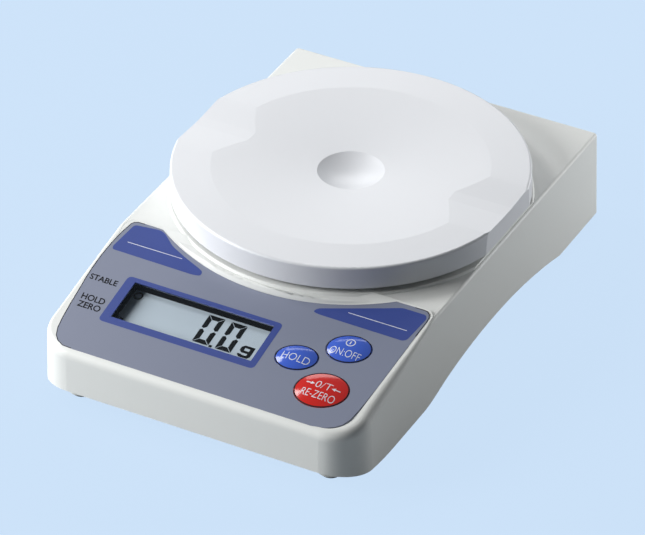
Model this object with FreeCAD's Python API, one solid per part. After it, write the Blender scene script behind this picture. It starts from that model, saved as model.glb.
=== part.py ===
# Compact electronic balance: round plastic pan on a load cell, sloped control panel in front.
# Millimetres. X to the right, Y to the rear, Z up. The origin lies on the table,
# in the middle of the outline, and the control panel faces the front, -Y.
import FreeCAD, Part
import math
import os

from FreeCAD import Vector

# Case outline
case_width = 127.4
case_length = 195.0
side_draft = 1.0
front_corner_r = 14.0
rear_corner_r = 2.5
wall = 2.2
deck_height = 36.4
panel_reach = 61.1
break_round = 25.0
panel_angle = 12.4
rear_edge_r = 1.1
front_edge_r = 3.6
case_rib = 1.6

# Lower edge of the case, seen from the side
foot_proud = 1.8
arch_from_rear = 33.2
arch_top_y = 9.4
arch_height = 6.9
arch_front_y = -24.9
arch_end_y = -45.0
front_land = 0.8
nose_length = 30.5
nose_rise = 4.2

# Plateau under the pan, and the level apron that carries the deck out over the sloped panel
plateau_r = 65.6
plateau_rise = 0.8
plateau_flank = 0.6
plateau_edge_r = 0.35
apron_r = 87.2
apron_behind_pan = 20.1
apron_flank = 0.35
apron_edge_r = 0.6
hub_hole_r = 12.0
hub_collar_wall = 1.6
hub_collar_depth = 3.0

# Weighing pan
pan_r = 65.0
pan_rear_margin = 11.4
pan_top = 47.7
pan_skirt = 8.5
pan_draft = 0.26
pan_wall = 2.0
pan_edge_r = 0.9
pan_flat_x = 62.9
dish_r = 50.4
dish_depth = 2.7
dimple_r = 12.2
dimple_depth = 2.7
spout_half_width = 16.4
spout_floor_half_width = 2.8
spout_depth = 0.7
pan_boss_r = 3.5
pan_boss_circle_r = 42.0
pan_rib_r = 27.0
pan_rib_size = 1.2

# Pan support and its pads
support_plate = 1.6
support_cup_wall = 2.0
support_cup_r = 15.0
arm_thickness = 3.0
arm_root_width = 14.0
arm_tip_width = 9.0
arm_gap_over_plateau = 1.0
hub_r = 9.0
hub_screw_circle_r = 6.4
hub_screw_angles = (30, 150, 210, 330)
hub_screw_r = 1.05
hub_screw_head_r = 1.9
hub_screw_grip = 5.0
pad_thickness = 1.6
pin_r = 1.6
pin_length = 1.6
fit_gap = 0.3

# Load cell and what it stands on
beam_length = 76.0
beam_width = 13.0
beam_height = 12.0
beam_floor = 15.0
beam_hole_r = 4.4
beam_hole_pitch = 12.0
beam_slot = 1.2
shim = 1.0
shim_length = 17.0
bracket_thickness = 2.0
bracket_width = 24.0
bracket_corner_r = 3.0
beam_screw_r = 1.5
beam_screw_pitch = 8.0
beam_screw_inset = 4.5
screw_head_r = 2.8
screw_head = 1.8
screw_head_edge_r = 0.6
screw_head_gap = 0.4
screw_gap = 0.15
thread_gap = 0.05
pedestal_step = 2.0
stop_post_gap = 2.5
bracket_screw_grip = 7.0
base_screw_web = 3.0
base_screw_short = 1.0
stop_screw_r = 1.5
stop_screw_length = 7.0
stop_screw_inset = 6.0
stop_post_r = 4.0
overload_travel = 0.4
gauge_size = 5.0
gauge_thickness = 0.4
slot_width = 0.8
slot_depth = 0.8

# Control panel, in its own frame: x, v up the slope from the break line, n out of it
overlay_rear_margin = 2.5
overlay_rear_v = 3.2
overlay_front_margin = 5.9
overlay_corner_v = -52.0
overlay_front_v = -58.9
overlay_front_r = 9.5
overlay_rear_r = 3.0
overlay_set = 0.3
film = 0.5
panel_wall = 2.4
lip = 0.8
film_gap = 0.12

# Display
window_x = -15.5
window_v = -32.1
window_width = 56.0
window_height = 17.8
glass_width = 64.0
glass_height = 26.0
glass_thickness = 2.0
glass_depth = 3.9
holder_wall = 2.2
holder_collar = 0.8
strip_width = 2.4
strip_inset = 1.0
strip_end_inset = 2.0

# Keys: centre x and v, half length, half width
key_tilt = 13.0
keys = {
    "hold_key": (26.5, -33.5, 7.9, 5.9),
    "on_off_key": (41.6, -23.2, 8.3, 6.5),
    "zero_key": (41.6, -43.8, 9.9, 8.0),
}
key_gap = 0.3
key_flange = 1.0
key_flange_thickness = 0.7
key_crown = 1.0
key_edge = 0.1
key_travel = 0.45
key_reserve = 0.45
key_well_wall = 1.2
key_skirt_r = 0.3
plunger_r = 2.0
web = 0.8

# Main board
board_side_margin = 12.2
board_rear_v = -9.0
board_front_v = -55.0
board_depth = 8.6
board_thickness = 1.6
board_screw_inset_x = 4.0
board_screw_inset_v = 3.5
board_screw_r = 1.2
board_screw_length = 6.5
board_boss_r = 3.0
board_hole_into_panel = 0.2
switch_size = 6.0
switch_height = 3.5
switch_well = 1.8
switch_stem_r = 1.75
switch_stem_in = 1.2
switch_stem_out = 0.8

# Parts under the main board: centre x and v, and the chip's side
chips = ((-12, -30, 12.0), (20, -24, 8.0))
chip_stand = 0.3
chip_height = 1.7
chip_legs = 7
chip_leg_width = 0.5
chip_leg_reach = 1.2
chip_leg_rise = 1.0
capacitor_places = ((-36, -22), (-36, -34), (34, -38))
capacitor_r = 2.5
capacitor_height = 5.5
crystal_place = (8, -43.1)
crystal_length = 10.0
crystal_width = 3.8
crystal_height = 3.4
crystal_end_r = 1.786
socket_v = -13.5
socket_length = 16.0
socket_width = 5.0
socket_height = 6.0
socket_wall = 0.8
socket_floor = 1.0
socket_pin = 0.6
socket_pin_pitch = 2.5
socket_pin_length = 4.5

# Battery box: four AA cells in two rows
cell_r = 7.15
cell_length = 50.2
cell_nub_r = 2.6
cell_nub = 1.0
cell_pitch = 14.6
cell_edge_r = 0.6
cell_gap = 0.06
cell_side_gap = 0.1
cell_end_room = 2.2
box_rear_margin = 4.3
box_wall = 1.2
cell_bottom = 4.3
cell_roof_gap = 0.4
contact = 0.4
contact_half = 5.0
contact_nub_r = 2.2
spring_outer_r = 3.6
spring_inner_r = 2.2
spring_wall = 0.6
door_thickness = 1.8
door_gap = 0.3
door_front_inset = 1.5
door_rib_height = 2.8
door_rib = 1.2
hinge_pin_r = 0.9
hinge_clearance = 0.08
latch_width = 12.0
latch_slit = 0.8
latch_length = 9.0
latch_grip_start = 2.0
latch_grip_length = 4.0

# Feet, case screws and power jack
foot_r = 3.7
foot_seat = 1.2
foot_stand_out = 1.5
foot_collar = 1.2
foot_gap = 0.1
foot_edge_r = 0.5
front_foot_inset_x = 14.1
front_foot_inset_y = 10.3
rear_foot_inset_x = 6.4
rear_foot_inset_y = 9.0
base_recess = 0.4
base_floor = 2.2
base_side_gap = 0.3
base_rim = 6.0
base_rim_wall = 1.6
case_overrun = 3.0
case_screw_inset_x = 7.3
case_screw_inset_front = 35.5
case_screw_inset_rear = 47.5
case_boss_r = 3.2
case_post_wall = 1.4
case_screw_r = 1.4
case_screw_hole = 12.0
case_screw_length = 15.0
case_screw_seat_depth = 5.5
post_top = 14.0
jack_from_side = 25.7
jack_z = 27.0
jack_hole_r = 5.0
jack_width = 11.0
jack_height = 9.0
jack_depth = 13.0
jack_bore_r = 2.9
jack_bore_floor = 3.0
jack_pin_r = 1.0
jack_pin_set_back = 1.0
jack_set_back = 0.5
jack_cradle_inset = 1.0
jack_cradle_set_back = 2.0

# Reach of a cutting block or post that has to pass right through the balance
beyond = 120.0

# Sizes that follow from the ones above
half_width = case_width / 2
half_length = case_length / 2
break_y = panel_reach - half_length
arch_rear_y = half_length - arch_from_rear
nose_start_y = nose_length - half_length
pan_y = half_length - pan_rear_margin - pan_r
apron_y = pan_y + apron_behind_pan
overlay_rear_half = half_width - overlay_rear_margin
overlay_front_half = half_width - overlay_front_margin
board_half = half_width - board_side_margin
front_foot_x = half_width - front_foot_inset_x
front_foot_y = front_foot_inset_y - half_length
rear_foot_x = half_width - rear_foot_inset_x
rear_foot_y = half_length - rear_foot_inset_y
case_screw_x = half_width - case_screw_inset_x
case_screw_front_y = case_screw_inset_front - half_length
case_screw_rear_y = half_length - case_screw_inset_rear
jack_x = half_width - jack_from_side
box_rear_y = half_length - box_rear_margin
box_half_length = cell_length + cell_end_room
slope = math.radians(panel_angle)
rim_z = deck_height + plateau_rise
box_depth = cell_pitch + 2 * (cell_r + cell_side_gap)
box_front_y = box_rear_y - box_depth
box_roof_z = cell_bottom + 2 * cell_r + cell_roof_gap
cell_z = cell_bottom + cell_r
beam_top = beam_floor + beam_height
beam_front_y = pan_y - beam_length / 2
beam_rear_y = pan_y + beam_length / 2
stop_y = beam_rear_y - stop_screw_inset
door_front_y = box_front_y + door_front_inset
door_half_length = box_half_length - door_gap
door_low_z = foot_proud + base_recess
case_screw_seat_z = post_top - case_screw_seat_depth
shell_low_z = foot_proud - case_overrun
bracket_z = beam_top + shim
base_screw_seat_z = beam_floor - shim - base_screw_web
jack_face_y = half_length - wall - side_draft - jack_set_back
arm_floor_z = rim_z + arm_gap_over_plateau
arm_top_z = arm_floor_z + arm_thickness
pad_top_z = arm_top_z + pad_thickness
film_floor = -(overlay_set + film)
panel_under = film_floor - panel_wall
board_top = -board_depth
board_under = board_top - board_thickness
switch_top = board_top + switch_height
key_floor = film_floor - key_travel - key_flange_thickness - key_reserve


def box(x0, x1, y0, y1, z0, z1):
    return Part.makeBox(x1 - x0, y1 - y0, z1 - z0, Vector(x0, y0, z0))


def post(x, y, z0, z1, r):
    return Part.makeCylinder(r, z1 - z0, Vector(x, y, z0))


def ring(x, y, z0, z1, r_out, r_in):
    return post(x, y, z0, z1, r_out).cut(post(x, y, z0, z1, r_in))


def line(a, b):
    return Part.makeLine(Vector(*a), Vector(*b))


def arc(a, middle, b):
    return Part.Arc(Vector(*a), Vector(*middle), Vector(*b)).toShape()


def face_of(edges):
    return Part.Face(Part.Wire(Part.__sortEdges__(edges)))


def joined(first, *others):
    return first.multiFuse(list(others)).removeSplitter()


def corner_arc(cx, cy, r, from_deg, z):
    """Quarter circle about cx, cy that starts at from_deg and turns left."""
    points = []
    for step in (0, 45, 90):
        a = math.radians(from_deg + step)
        points.append((cx + r * math.cos(a), cy + r * math.sin(a), z))
    return arc(*points)


def plan_wire(inset, z):
    """Case outline, moved in by inset, at height z."""
    x = half_width - inset
    y = half_length - inset
    rf = front_corner_r - inset
    rr = max(rear_corner_r - inset, 0.4)
    return Part.Wire([
        line((-x + rf, -y, z), (x - rf, -y, z)),
        corner_arc(x - rf, -y + rf, rf, 270, z),
        line((x, -y + rf, z), (x, y - rr, z)),
        corner_arc(x - rr, y - rr, rr, 0, z),
        line((x - rr, y, z), (-x + rr, y, z)),
        corner_arc(-x + rr, y - rr, rr, 90, z),
        line((-x, y - rr, z), (-x, -y + rf, z)),
        corner_arc(-x + rf, -y + rf, rf, 180, z),
    ])


def drafted_block(inset, z0, z1):
    """Block with the case's outline and drafted sides, moved in by inset."""
    lean = side_draft / (deck_height - foot_proud)
    low = plan_wire(inset + lean * (z0 - foot_proud), z0)
    high = plan_wire(inset + lean * (z1 - foot_proud), z1)
    return Part.makeLoft([low, high], True, True)


def yz_prism(edges, half):
    """Solid swept along X from a closed set of edges drawn at x = -half."""
    return face_of(edges).extrude(Vector(2 * half, 0, 0))


def lower_edge(lift, half):
    """Edges of the case's lower line, from rear to front, and its two end points."""
    x = -half
    base = foot_proud + lift
    reach = half_length + 6
    arch_r = ((arch_rear_y - arch_top_y) ** 2 + arch_height ** 2) / (2 * arch_height)
    nose_r = ((half_length + nose_start_y) ** 2 + nose_rise ** 2) / (2 * nose_rise)

    def arch_z(y):
        return base + arch_height - arch_r + math.sqrt(arch_r ** 2 - (y - arch_top_y) ** 2)

    def nose_z(y):
        return base + front_land + nose_r - math.sqrt(nose_r ** 2 - (y - nose_start_y) ** 2)

    fall = (arch_top_y - arch_front_y) / arch_r
    handle = (arch_front_y - arch_end_y) / 3
    front_z = arch_z(arch_front_y)
    land_z = base + front_land
    curve = Part.BezierCurve()
    curve.setPoles([
        Vector(x, arch_front_y, front_z),
        Vector(x, arch_front_y - handle, front_z - handle * fall),
        Vector(x, arch_end_y + handle, land_z),
        Vector(x, arch_end_y, land_z),
    ])
    middle_y = (nose_start_y - reach) / 2
    edges = [
        line((x, reach, base), (x, arch_rear_y, base)),
        arc((x, arch_rear_y, base), (x, arch_top_y, base + arch_height), (x, arch_front_y, front_z)),
        curve.toShape(),
        line((x, arch_end_y, land_z), (x, nose_start_y, land_z)),
        arc((x, nose_start_y, land_z), (x, middle_y, nose_z(middle_y)), (x, -reach, nose_z(-reach))),
    ]
    return edges, Vector(x, reach, base), Vector(x, -reach, nose_z(-reach))


def below_lower_edge(lift):
    """Everything under the case's lower line, raised by lift."""
    half = half_width + 5
    edges, rear, front = lower_edge(lift, half)
    low_rear = Vector(rear.x, rear.y, -30)
    low_front = Vector(front.x, front.y, -30)
    edges.append(Part.makeLine(front, low_front))
    edges.append(Part.makeLine(low_front, low_rear))
    edges.append(Part.makeLine(low_rear, rear))
    return yz_prism(edges, half)


def on_panel(shape):
    """Carry a shape from the panel's frame to the balance's."""
    turn = FreeCAD.Rotation(Vector(1, 0, 0), panel_angle)
    moved = shape.copy()
    moved.Placement = FreeCAD.Placement(Vector(0, break_y, deck_height), turn).multiply(shape.Placement)
    return moved


def above_panel(depth):
    """Everything above the panel plane, lowered by depth, in front of where it meets the deck."""
    return on_panel(box(-beyond, beyond, -beyond, beyond, -depth, beyond))


def overlay_outline(offset):
    """Outline of the panel film, moved out by offset, at n = 0."""
    rate = (overlay_rear_half - overlay_front_half) / (overlay_rear_v - overlay_corner_v)
    front_half = overlay_front_half - rate * (overlay_corner_v - overlay_front_v)
    corners = [
        Vector(-front_half - offset, overlay_front_v - offset, 0),
        Vector(front_half + offset, overlay_front_v - offset, 0),
        Vector(overlay_rear_half + offset, overlay_rear_v + offset, 0),
        Vector(-overlay_rear_half - offset, overlay_rear_v + offset, 0),
    ]
    return Part.Face(Part.makePolygon(corners + [corners[0]]))


def overlay_block(offset, n0, n1, whole=False):
    """Panel film's plan as a block from n0 to n1, less the apron's round edge."""
    face = overlay_outline(offset)
    block = face.extrude(Vector(0, 0, n1 - n0))
    block.translate(Vector(0, 0, n0))
    front = [e for e in block.Edges if is_upright(e, overlay_front_v - offset)]
    block = block.makeFillet(overlay_front_r + offset, front)
    rear = [e for e in block.Edges if is_upright(e, overlay_rear_v + offset)]
    block = block.makeFillet(overlay_rear_r + offset, rear)
    block = on_panel(block)
    if whole:
        return block
    return block.cut(post(0, apron_y, 0, beyond, apron_foot_r() - offset))


def apron_foot_r():
    """Radius at which the apron's flank comes down on the panel at its lowest point."""
    drop = math.tan(slope) * (apron_r - apron_y + break_y)
    return apron_r + apron_flank * drop / (1 - apron_flank * math.tan(slope))


def is_upright(edge, v):
    """Whether an edge stands on the panel's plane at v."""
    a, b = (p.Point for p in (edge.Vertexes[0], edge.Vertexes[-1]))
    return abs(a.x - b.x) < 1e-6 and abs(a.y - b.y) < 1e-6 and abs(a.y - v) < 1e-6


def oval(cx, cv, a, b, n0, n1):
    """Upright oval block on the panel, turned by the keys' tilt."""
    wire = Part.Wire(Part.Ellipse(Vector(0, 0, 0), a, b).toShape())
    block = Part.Face(wire).extrude(Vector(0, 0, n1 - n0))
    block.rotate(Vector(0, 0, 0), Vector(0, 0, 1), key_tilt)
    block.translate(Vector(cx, cv, n0))
    return block


def window_block(grow, n0, n1):
    """Block over the display window, grown by grow on every side."""
    return box(
        window_x - window_width / 2 - grow, window_x + window_width / 2 + grow,
        window_v - window_height / 2 - grow, window_v + window_height / 2 + grow,
        n0, n1)


def board_screw_places():
    return [(sx * (board_half - board_screw_inset_x), v)
            for sx in (-1, 1)
            for v in (board_rear_v - board_screw_inset_v, board_front_v + board_screw_inset_v)]


def case_screw_places():
    return [(sx * case_screw_x, y)
            for sx in (-1, 1)
            for y in (case_screw_front_y, case_screw_rear_y)]


def foot_places():
    return [(sx * x, y)
            for sx in (-1, 1)
            for x, y in ((front_foot_x, front_foot_y), (rear_foot_x, rear_foot_y))]


def rounded_block():
    """Outside of the upper case: drafted block, sloped panel, rounded top edges."""
    block = drafted_block(0, foot_proud - 1, deck_height).cut(above_panel(0))
    ridge = [e for e in block.Edges
             if abs(e.BoundBox.YMax - break_y) < 0.01 and abs(e.BoundBox.YMin - break_y) < 0.01]
    block = block.makeFillet(break_round, ridge)
    corner_y = -half_length + front_corner_r
    radii = []
    for number, edge in enumerate(block.Edges, 1):
        b = edge.BoundBox
        across = b.XLength > case_width - 5 and b.YMax > break_y - break_round and b.YMin < half_length / 2
        if b.ZMin < deck_height / 2 or across or b.ZLength > deck_height / 2:
            continue
        ends = [edge.Vertexes[0].Point.y, edge.Vertexes[-1].Point.y]
        sizes = [front_edge_r if y < corner_y + 1 else rear_edge_r for y in ends]
        radii.append((number, sizes[0], sizes[1]))
    document = FreeCAD.newDocument("case_edges")
    plain = document.addObject("Part::Feature", "plain")
    plain.Shape = block
    soft = document.addObject("Part::Fillet", "soft")
    soft.Base = plain
    soft.Edges = radii
    document.recompute()
    shape = soft.Shape.copy()
    FreeCAD.closeDocument(document.Name)
    return shape


def stepped_disc(centre_y, r, top, low, flank, edge_r):
    """Disc with a flank that leans out by flank per millimetre of drop, and a soft top edge."""
    low_r = r + (top - low) * flank
    soft_r = r + edge_r * flank
    edges = [
        line((0, 0, low), (low_r, 0, low)),
        line((low_r, 0, low), (soft_r, 0, top - edge_r)),
        arc((soft_r, 0, top - edge_r), (r - 0.2 * edge_r, 0, top - 0.25 * edge_r), (r - edge_r, 0, top)),
        line((r - edge_r, 0, top), (0, 0, top)),
        line((0, 0, top), (0, 0, low)),
    ]
    disc = face_of(edges).revolve(Vector(0, 0, 0), Vector(0, 0, 1), 360)
    disc.translate(Vector(0, centre_y, 0))
    return disc.common(drafted_block(rear_edge_r, low - 1, top + 2))


def plateau():
    """Low round step under the pan's edge."""
    return stepped_disc(pan_y, plateau_r, rim_z, deck_height - wall / 2, plateau_flank, plateau_edge_r)


def apron():
    """Level shelf of the deck that reaches out over the sloped panel in a wide arc."""
    low = deck_height - math.tan(slope) * (apron_foot_r() - apron_y + break_y) - 1
    disc = stepped_disc(apron_y, apron_r, deck_height, low, apron_flank, apron_edge_r)
    return disc.common(box(-beyond, beyond, -beyond, break_y + break_round / 2, 0, beyond))


def case_cavity():
    """Hollow of the upper case, open below."""
    room = drafted_block(wall, shell_low_z, deck_height - wall)
    return room.cut(above_panel(-panel_under))


def key_openings():
    """Pocket for each key's flange and a round hole for its plunger."""
    pockets = []
    grow = key_flange + 2 * key_gap
    for cx, cv, a, b in keys.values():
        pockets.append(oval(cx, cv, a + grow, b + grow, key_floor, 0))
        pockets.append(post(cx, cv, board_top, 0, plunger_r + key_gap))
    return on_panel(Part.makeCompound(pockets))


def key_wells():
    """Walls under the panel that close the key pockets from below."""
    grow = key_flange + 2 * key_gap + key_well_wall
    return [on_panel(oval(cx, cv, a + grow, b + grow, key_floor - web, film_floor - panel_wall / 2))
            for cx, cv, a, b in keys.values()]


def upper_case():
    """Moulded ABS shell with the deck, the plateau and the sloped panel."""
    shell = joined(rounded_block(), plateau(), apron(), overlay_block(lip, panel_under, 0, whole=True))
    shell = shell.cut(case_cavity())
    shell = shell.cut(below_lower_edge(0))
    bosses = key_wells()
    for x, v in board_screw_places():
        bosses.append(on_panel(post(x, v, board_top, panel_under + wall / 2, board_boss_r)))
    side_x = half_width - wall / 2 - side_draft
    for x, y in case_screw_places():
        top = deck_height - wall / 2 + min(0, math.tan(slope) * (y - break_y - 2 * case_boss_r))
        bosses.append(post(x, y, post_top, top, case_boss_r))
        bosses.append(box(min(x, math.copysign(side_x, x)), max(x, math.copysign(side_x, x)),
                          y - case_rib / 2, y + case_rib / 2, post_top + case_boss_r, top))
    bosses.append(ring(0, pan_y, rim_z - wall - hub_collar_depth, rim_z - wall / 2,
                       hub_hole_r + hub_collar_wall, hub_hole_r))
    shell = joined(shell, *bosses)
    shell = shell.cut(overlay_block(film_gap, film_floor, deck_height))
    shell = shell.cut(key_openings())
    shell = shell.cut(on_panel(window_block(holder_collar + film_gap, panel_under - 1, 0)))
    shell = shell.cut(post(0, pan_y, beam_top, beyond, hub_hole_r))
    for x, v in board_screw_places():
        hole = post(x, v, board_top - 1, panel_under + board_hole_into_panel, board_screw_r)
        shell = shell.cut(on_panel(hole))
    for x, y in case_screw_places():
        shell = shell.cut(post(x, y, post_top - 1, post_top + case_screw_hole, case_screw_r))
    jack_hole = Part.makeCylinder(jack_hole_r, beyond, Vector(jack_x, jack_face_y, jack_z), Vector(0, 1, 0))
    return shell.cut(jack_hole)


def door_block(gap):
    """Plan of the battery door, moved out by gap, through the base's floor."""
    return box(-door_half_length - gap, door_half_length + gap,
               door_front_y - gap, hinge_y() + hinge_pin_r + gap,
               shell_low_z, cell_z)


def hinge_y():
    return box_rear_y - hinge_pin_r - 2 * door_gap


def hinge_z():
    return door_low_z + door_thickness / 2


def base_plate():
    """Base floor with its rim, both following the case's lower line."""
    inset = wall + base_side_gap
    block = drafted_block(inset, shell_low_z, deck_height)
    plate = block.cut(below_lower_edge(base_recess))
    inner = drafted_block(inset + base_rim_wall, shell_low_z, deck_height + 1)
    plate = plate.cut(inner.cut(below_lower_edge(base_recess + base_floor)))
    over = box(-half_width, half_width, -half_length, half_length, 0, beyond)
    return plate.cut(over.cut(below_lower_edge(base_rim)))


def lower_case():
    """Moulded base with the battery box, the load cell's pedestal and the screw posts."""
    within = drafted_block(wall + base_side_gap, shell_low_z, deck_height)
    inside = within.cut(below_lower_edge(base_recess + base_floor / 4))
    body = base_plate()
    ends = box_half_length + box_wall
    low = door_low_z
    cradle_half = jack_width / 2 - jack_cradle_inset
    adds = [
        box(-ends, ends, box_front_y - box_wall, box_rear_y + box_wall, low, box_roof_z + box_wall),
        box(-beam_width / 2 - pedestal_step, beam_width / 2 + pedestal_step,
            beam_front_y - pedestal_step / 2, beam_front_y + shim_length, low, beam_floor - shim),
        post(0, stop_y, low, beam_floor - stop_post_gap, stop_post_r),
        box(jack_x - cradle_half, jack_x + cradle_half,
            jack_face_y - jack_depth, jack_face_y - jack_cradle_set_back,
            box_roof_z, jack_z - jack_height / 2),
    ]
    adds += [post(x, y, low, post_top, case_boss_r + case_post_wall) for x, y in case_screw_places()]
    body = joined(body, *[a.common(inside) for a in adds])
    collars = [post(x, y, foot_stand_out, foot_seat_z(y) + base_floor - foot_seat, foot_r + foot_collar)
               for x, y in foot_places()]
    body = joined(body, *[c.common(within) for c in collars])
    floor_top = door_low_z + base_floor + foot_gap
    body = body.cut(box(-box_half_length, box_half_length, box_front_y, box_rear_y, floor_top, box_roof_z))
    body = body.cut(door_block(door_gap))
    pin_hole = Part.makeCylinder(hinge_pin_r + hinge_clearance, 2 * ends + 2,
                                 Vector(-ends - 1, hinge_y(), hinge_z()), Vector(1, 0, 0))
    body = body.cut(pin_hole)
    for x, y in case_screw_places():
        body = body.cut(post(x, y, -1, case_screw_seat_z, screw_head_r + screw_head_gap))
        body = body.cut(post(x, y, -1, post_top + 1, case_screw_r + fit_gap))
    for x, y in foot_places():
        body = body.cut(post(x, y, -1, foot_seat_z(y), foot_r + foot_gap))
    for y in base_screw_ys():
        body = body.cut(post(0, y, -1, base_screw_seat_z, screw_head_r + screw_head_gap))
        body = body.cut(post(0, y, -1, beam_floor, beam_screw_r + screw_gap))
    return body.cut(post(0, stop_y, 0, beam_floor, stop_screw_r + thread_gap))


def foot_seat_z(y):
    """Height of the flat seat that a foot at y is pressed into."""
    rise = door_low_z
    if y < nose_start_y:
        rise += front_land + (nose_start_y - y) ** 2 * nose_rise / (half_length + nose_start_y) ** 2
    return rise + foot_seat


def base_screw_ys():
    return [beam_front_y + beam_screw_inset, beam_front_y + beam_screw_inset + beam_screw_pitch]


def bracket_screw_ys():
    return [beam_rear_y - beam_screw_inset, beam_rear_y - beam_screw_inset - beam_screw_pitch]


def pan_head_screw(x, y, head_z, length, r, up=True):
    """Screw with a round head. head_z is where the head meets the work."""
    way = 1 if up else -1
    start = head_z - way * screw_head
    head = Part.makeCylinder(screw_head_r, screw_head, Vector(x, y, start), Vector(0, 0, way))
    top_edge = [e for e in head.Edges if e.BoundBox.ZLength < 1e-6 and abs(e.BoundBox.ZMin - start) < 1e-6]
    head = head.makeFillet(screw_head_edge_r, top_edge)
    shank = Part.makeCylinder(r, length, Vector(x, y, head_z), Vector(0, 0, way))
    slot_end = start + way * slot_depth
    slot = box(x - slot_width / 2, x + slot_width / 2, y - screw_head_r, y + screw_head_r,
               min(start, slot_end), max(start, slot_end))
    return joined(head, shank).cut(slot)


def case_screws():
    return [pan_head_screw(x, y, case_screw_seat_z, case_screw_length, case_screw_r - thread_gap)
            for x, y in case_screw_places()]


def rubber_feet():
    feet = []
    for x, y in foot_places():
        foot = post(x, y, 0, foot_seat_z(y), foot_r)
        sole = [e for e in foot.Edges if e.BoundBox.ZMax < 1e-6]
        feet.append(foot.makeFillet(foot_edge_r, sole))
    return feet


def panel_overlay():
    """Printed film in the panel's recess, with holes for the display and the keys."""
    sheet = overlay_block(0, film_floor, -overlay_set)
    sheet = sheet.cut(on_panel(window_block(0, panel_under, 1)))
    for cx, cv, a, b in keys.values():
        sheet = sheet.cut(on_panel(oval(cx, cv, a + key_gap, b + key_gap, panel_under, 1)))
    return sheet


def display_window():
    """Clear film over the display."""
    return on_panel(window_block(0, film_floor, -overlay_set))


def lcd_holder():
    """Black frame that lines the window and holds the glass on the board."""
    top = panel_under - film_gap
    grow_x = (glass_width - window_width) / 2 + holder_wall
    grow_v = (glass_height - window_height) / 2 + holder_wall
    outer = box(window_x - window_width / 2 - grow_x, window_x + window_width / 2 + grow_x,
                window_v - window_height / 2 - grow_v, window_v + window_height / 2 + grow_v,
                board_top, top)
    frame = joined(outer, window_block(holder_collar, top - holder_collar, film_floor - thread_gap))
    frame = frame.cut(window_block(thread_gap, board_top - 1, 1))
    bay = box(window_x - glass_width / 2 - fit_gap, window_x + glass_width / 2 + fit_gap,
              window_v - glass_height / 2 - fit_gap, window_v + glass_height / 2 + fit_gap,
              board_top - 1, -glass_depth)
    return on_panel(frame.cut(bay))


def lcd_glass():
    """Liquid-crystal cell in the holder."""
    return on_panel(box(
        window_x - glass_width / 2, window_x + glass_width / 2,
        window_v - glass_height / 2, window_v + glass_height / 2,
        -glass_depth - glass_thickness, -glass_depth))


def contact_strips():
    """Rubber strips that carry the segments' lines from the board up to the glass."""
    strips = []
    for way in (-1, 1):
        v = window_v + way * (glass_height / 2 - strip_inset - strip_width / 2)
        strips.append(on_panel(box(
            window_x - glass_width / 2 + strip_end_inset, window_x + glass_width / 2 - strip_end_inset,
            v - strip_width / 2, v + strip_width / 2,
            board_top, -glass_depth - glass_thickness)))
    return strips


def main_board():
    """Circuit board under the panel."""
    board = box(-board_half, board_half, board_front_v, board_rear_v, board_under, board_top)
    for x, v in board_screw_places():
        board = board.cut(post(x, v, board_under - 1, board_top + 1, board_screw_r + fit_gap))
    return on_panel(board)


def board_screws():
    return [on_panel(pan_head_screw(x, v, board_under, board_screw_length, board_screw_r - thread_gap))
            for x, v in board_screw_places()]


def board_chips():
    """Controller with its legs, and the converter beside it, under the board."""
    z = board_under
    bodies = []
    for cx, cv, size in chips:
        h = size / 2
        body = box(cx - h, cx + h, cv - h, cv + h, z - chip_stand - chip_height, z - chip_stand)
        legs = []
        for k in range(chip_legs):
            x = cx - h + size * (k + 1) / (chip_legs + 1) - chip_leg_width / 2
            for edge, out in ((cv - h, -chip_leg_reach), (cv + h, chip_leg_reach)):
                inner = edge - math.copysign(chip_leg_width / 2, out)
                legs.append(box(x, x + chip_leg_width, min(inner, edge + out), max(inner, edge + out),
                                z - chip_leg_rise, z))
        bodies.append(on_panel(joined(body, *legs)))
    return bodies


def board_capacitors():
    return [on_panel(post(x, v, board_under - capacitor_height, board_under, capacitor_r))
            for x, v in capacitor_places]


def clock_crystal():
    """Crystal's can, with round ends."""
    x, v = crystal_place
    can = box(x - crystal_length / 2, x + crystal_length / 2, v - crystal_width / 2, v + crystal_width / 2,
              board_under - crystal_height, board_under)
    upright = [e for e in can.Edges if e.BoundBox.ZLength > crystal_height / 2]
    return on_panel(can.makeFillet(crystal_end_r, upright))


def lead_socket():
    """White socket for the load cell's and the battery's leads, with its pins."""
    z = board_under
    x = socket_length / 2
    y = socket_width / 2
    shell = box(-x, x, socket_v - y, socket_v + y, z - socket_height, z)
    room = box(-x + socket_wall, x - socket_wall, socket_v - y + socket_wall, socket_v + y - socket_wall,
               z - socket_height - 1, z - socket_floor)
    pin = socket_pin / 2
    pins = [box(k * socket_pin_pitch - pin, k * socket_pin_pitch + pin, socket_v - pin, socket_v + pin,
                z - socket_floor / 2 - socket_pin_length, z - socket_floor / 2) for k in range(-2, 3)]
    return on_panel(joined(shell.cut(room), *pins))


def tact_switches():
    """Key switches' bodies, one under each key."""
    bodies = []
    h = switch_size / 2
    for cx, cv, a, b in keys.values():
        body = box(cx - h, cx + h, cv - h, cv + h, board_top, switch_top)
        body = body.cut(post(cx, cv, switch_top - switch_well, switch_top + 1, switch_stem_r + screw_gap))
        bodies.append(on_panel(body))
    return bodies


def switch_stem(name):
    """Sprung stem that a key's plunger pushes down."""
    cx, cv, a, b = keys[name]
    return on_panel(post(cx, cv, switch_top - switch_stem_in, switch_top + switch_stem_out, switch_stem_r))


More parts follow.
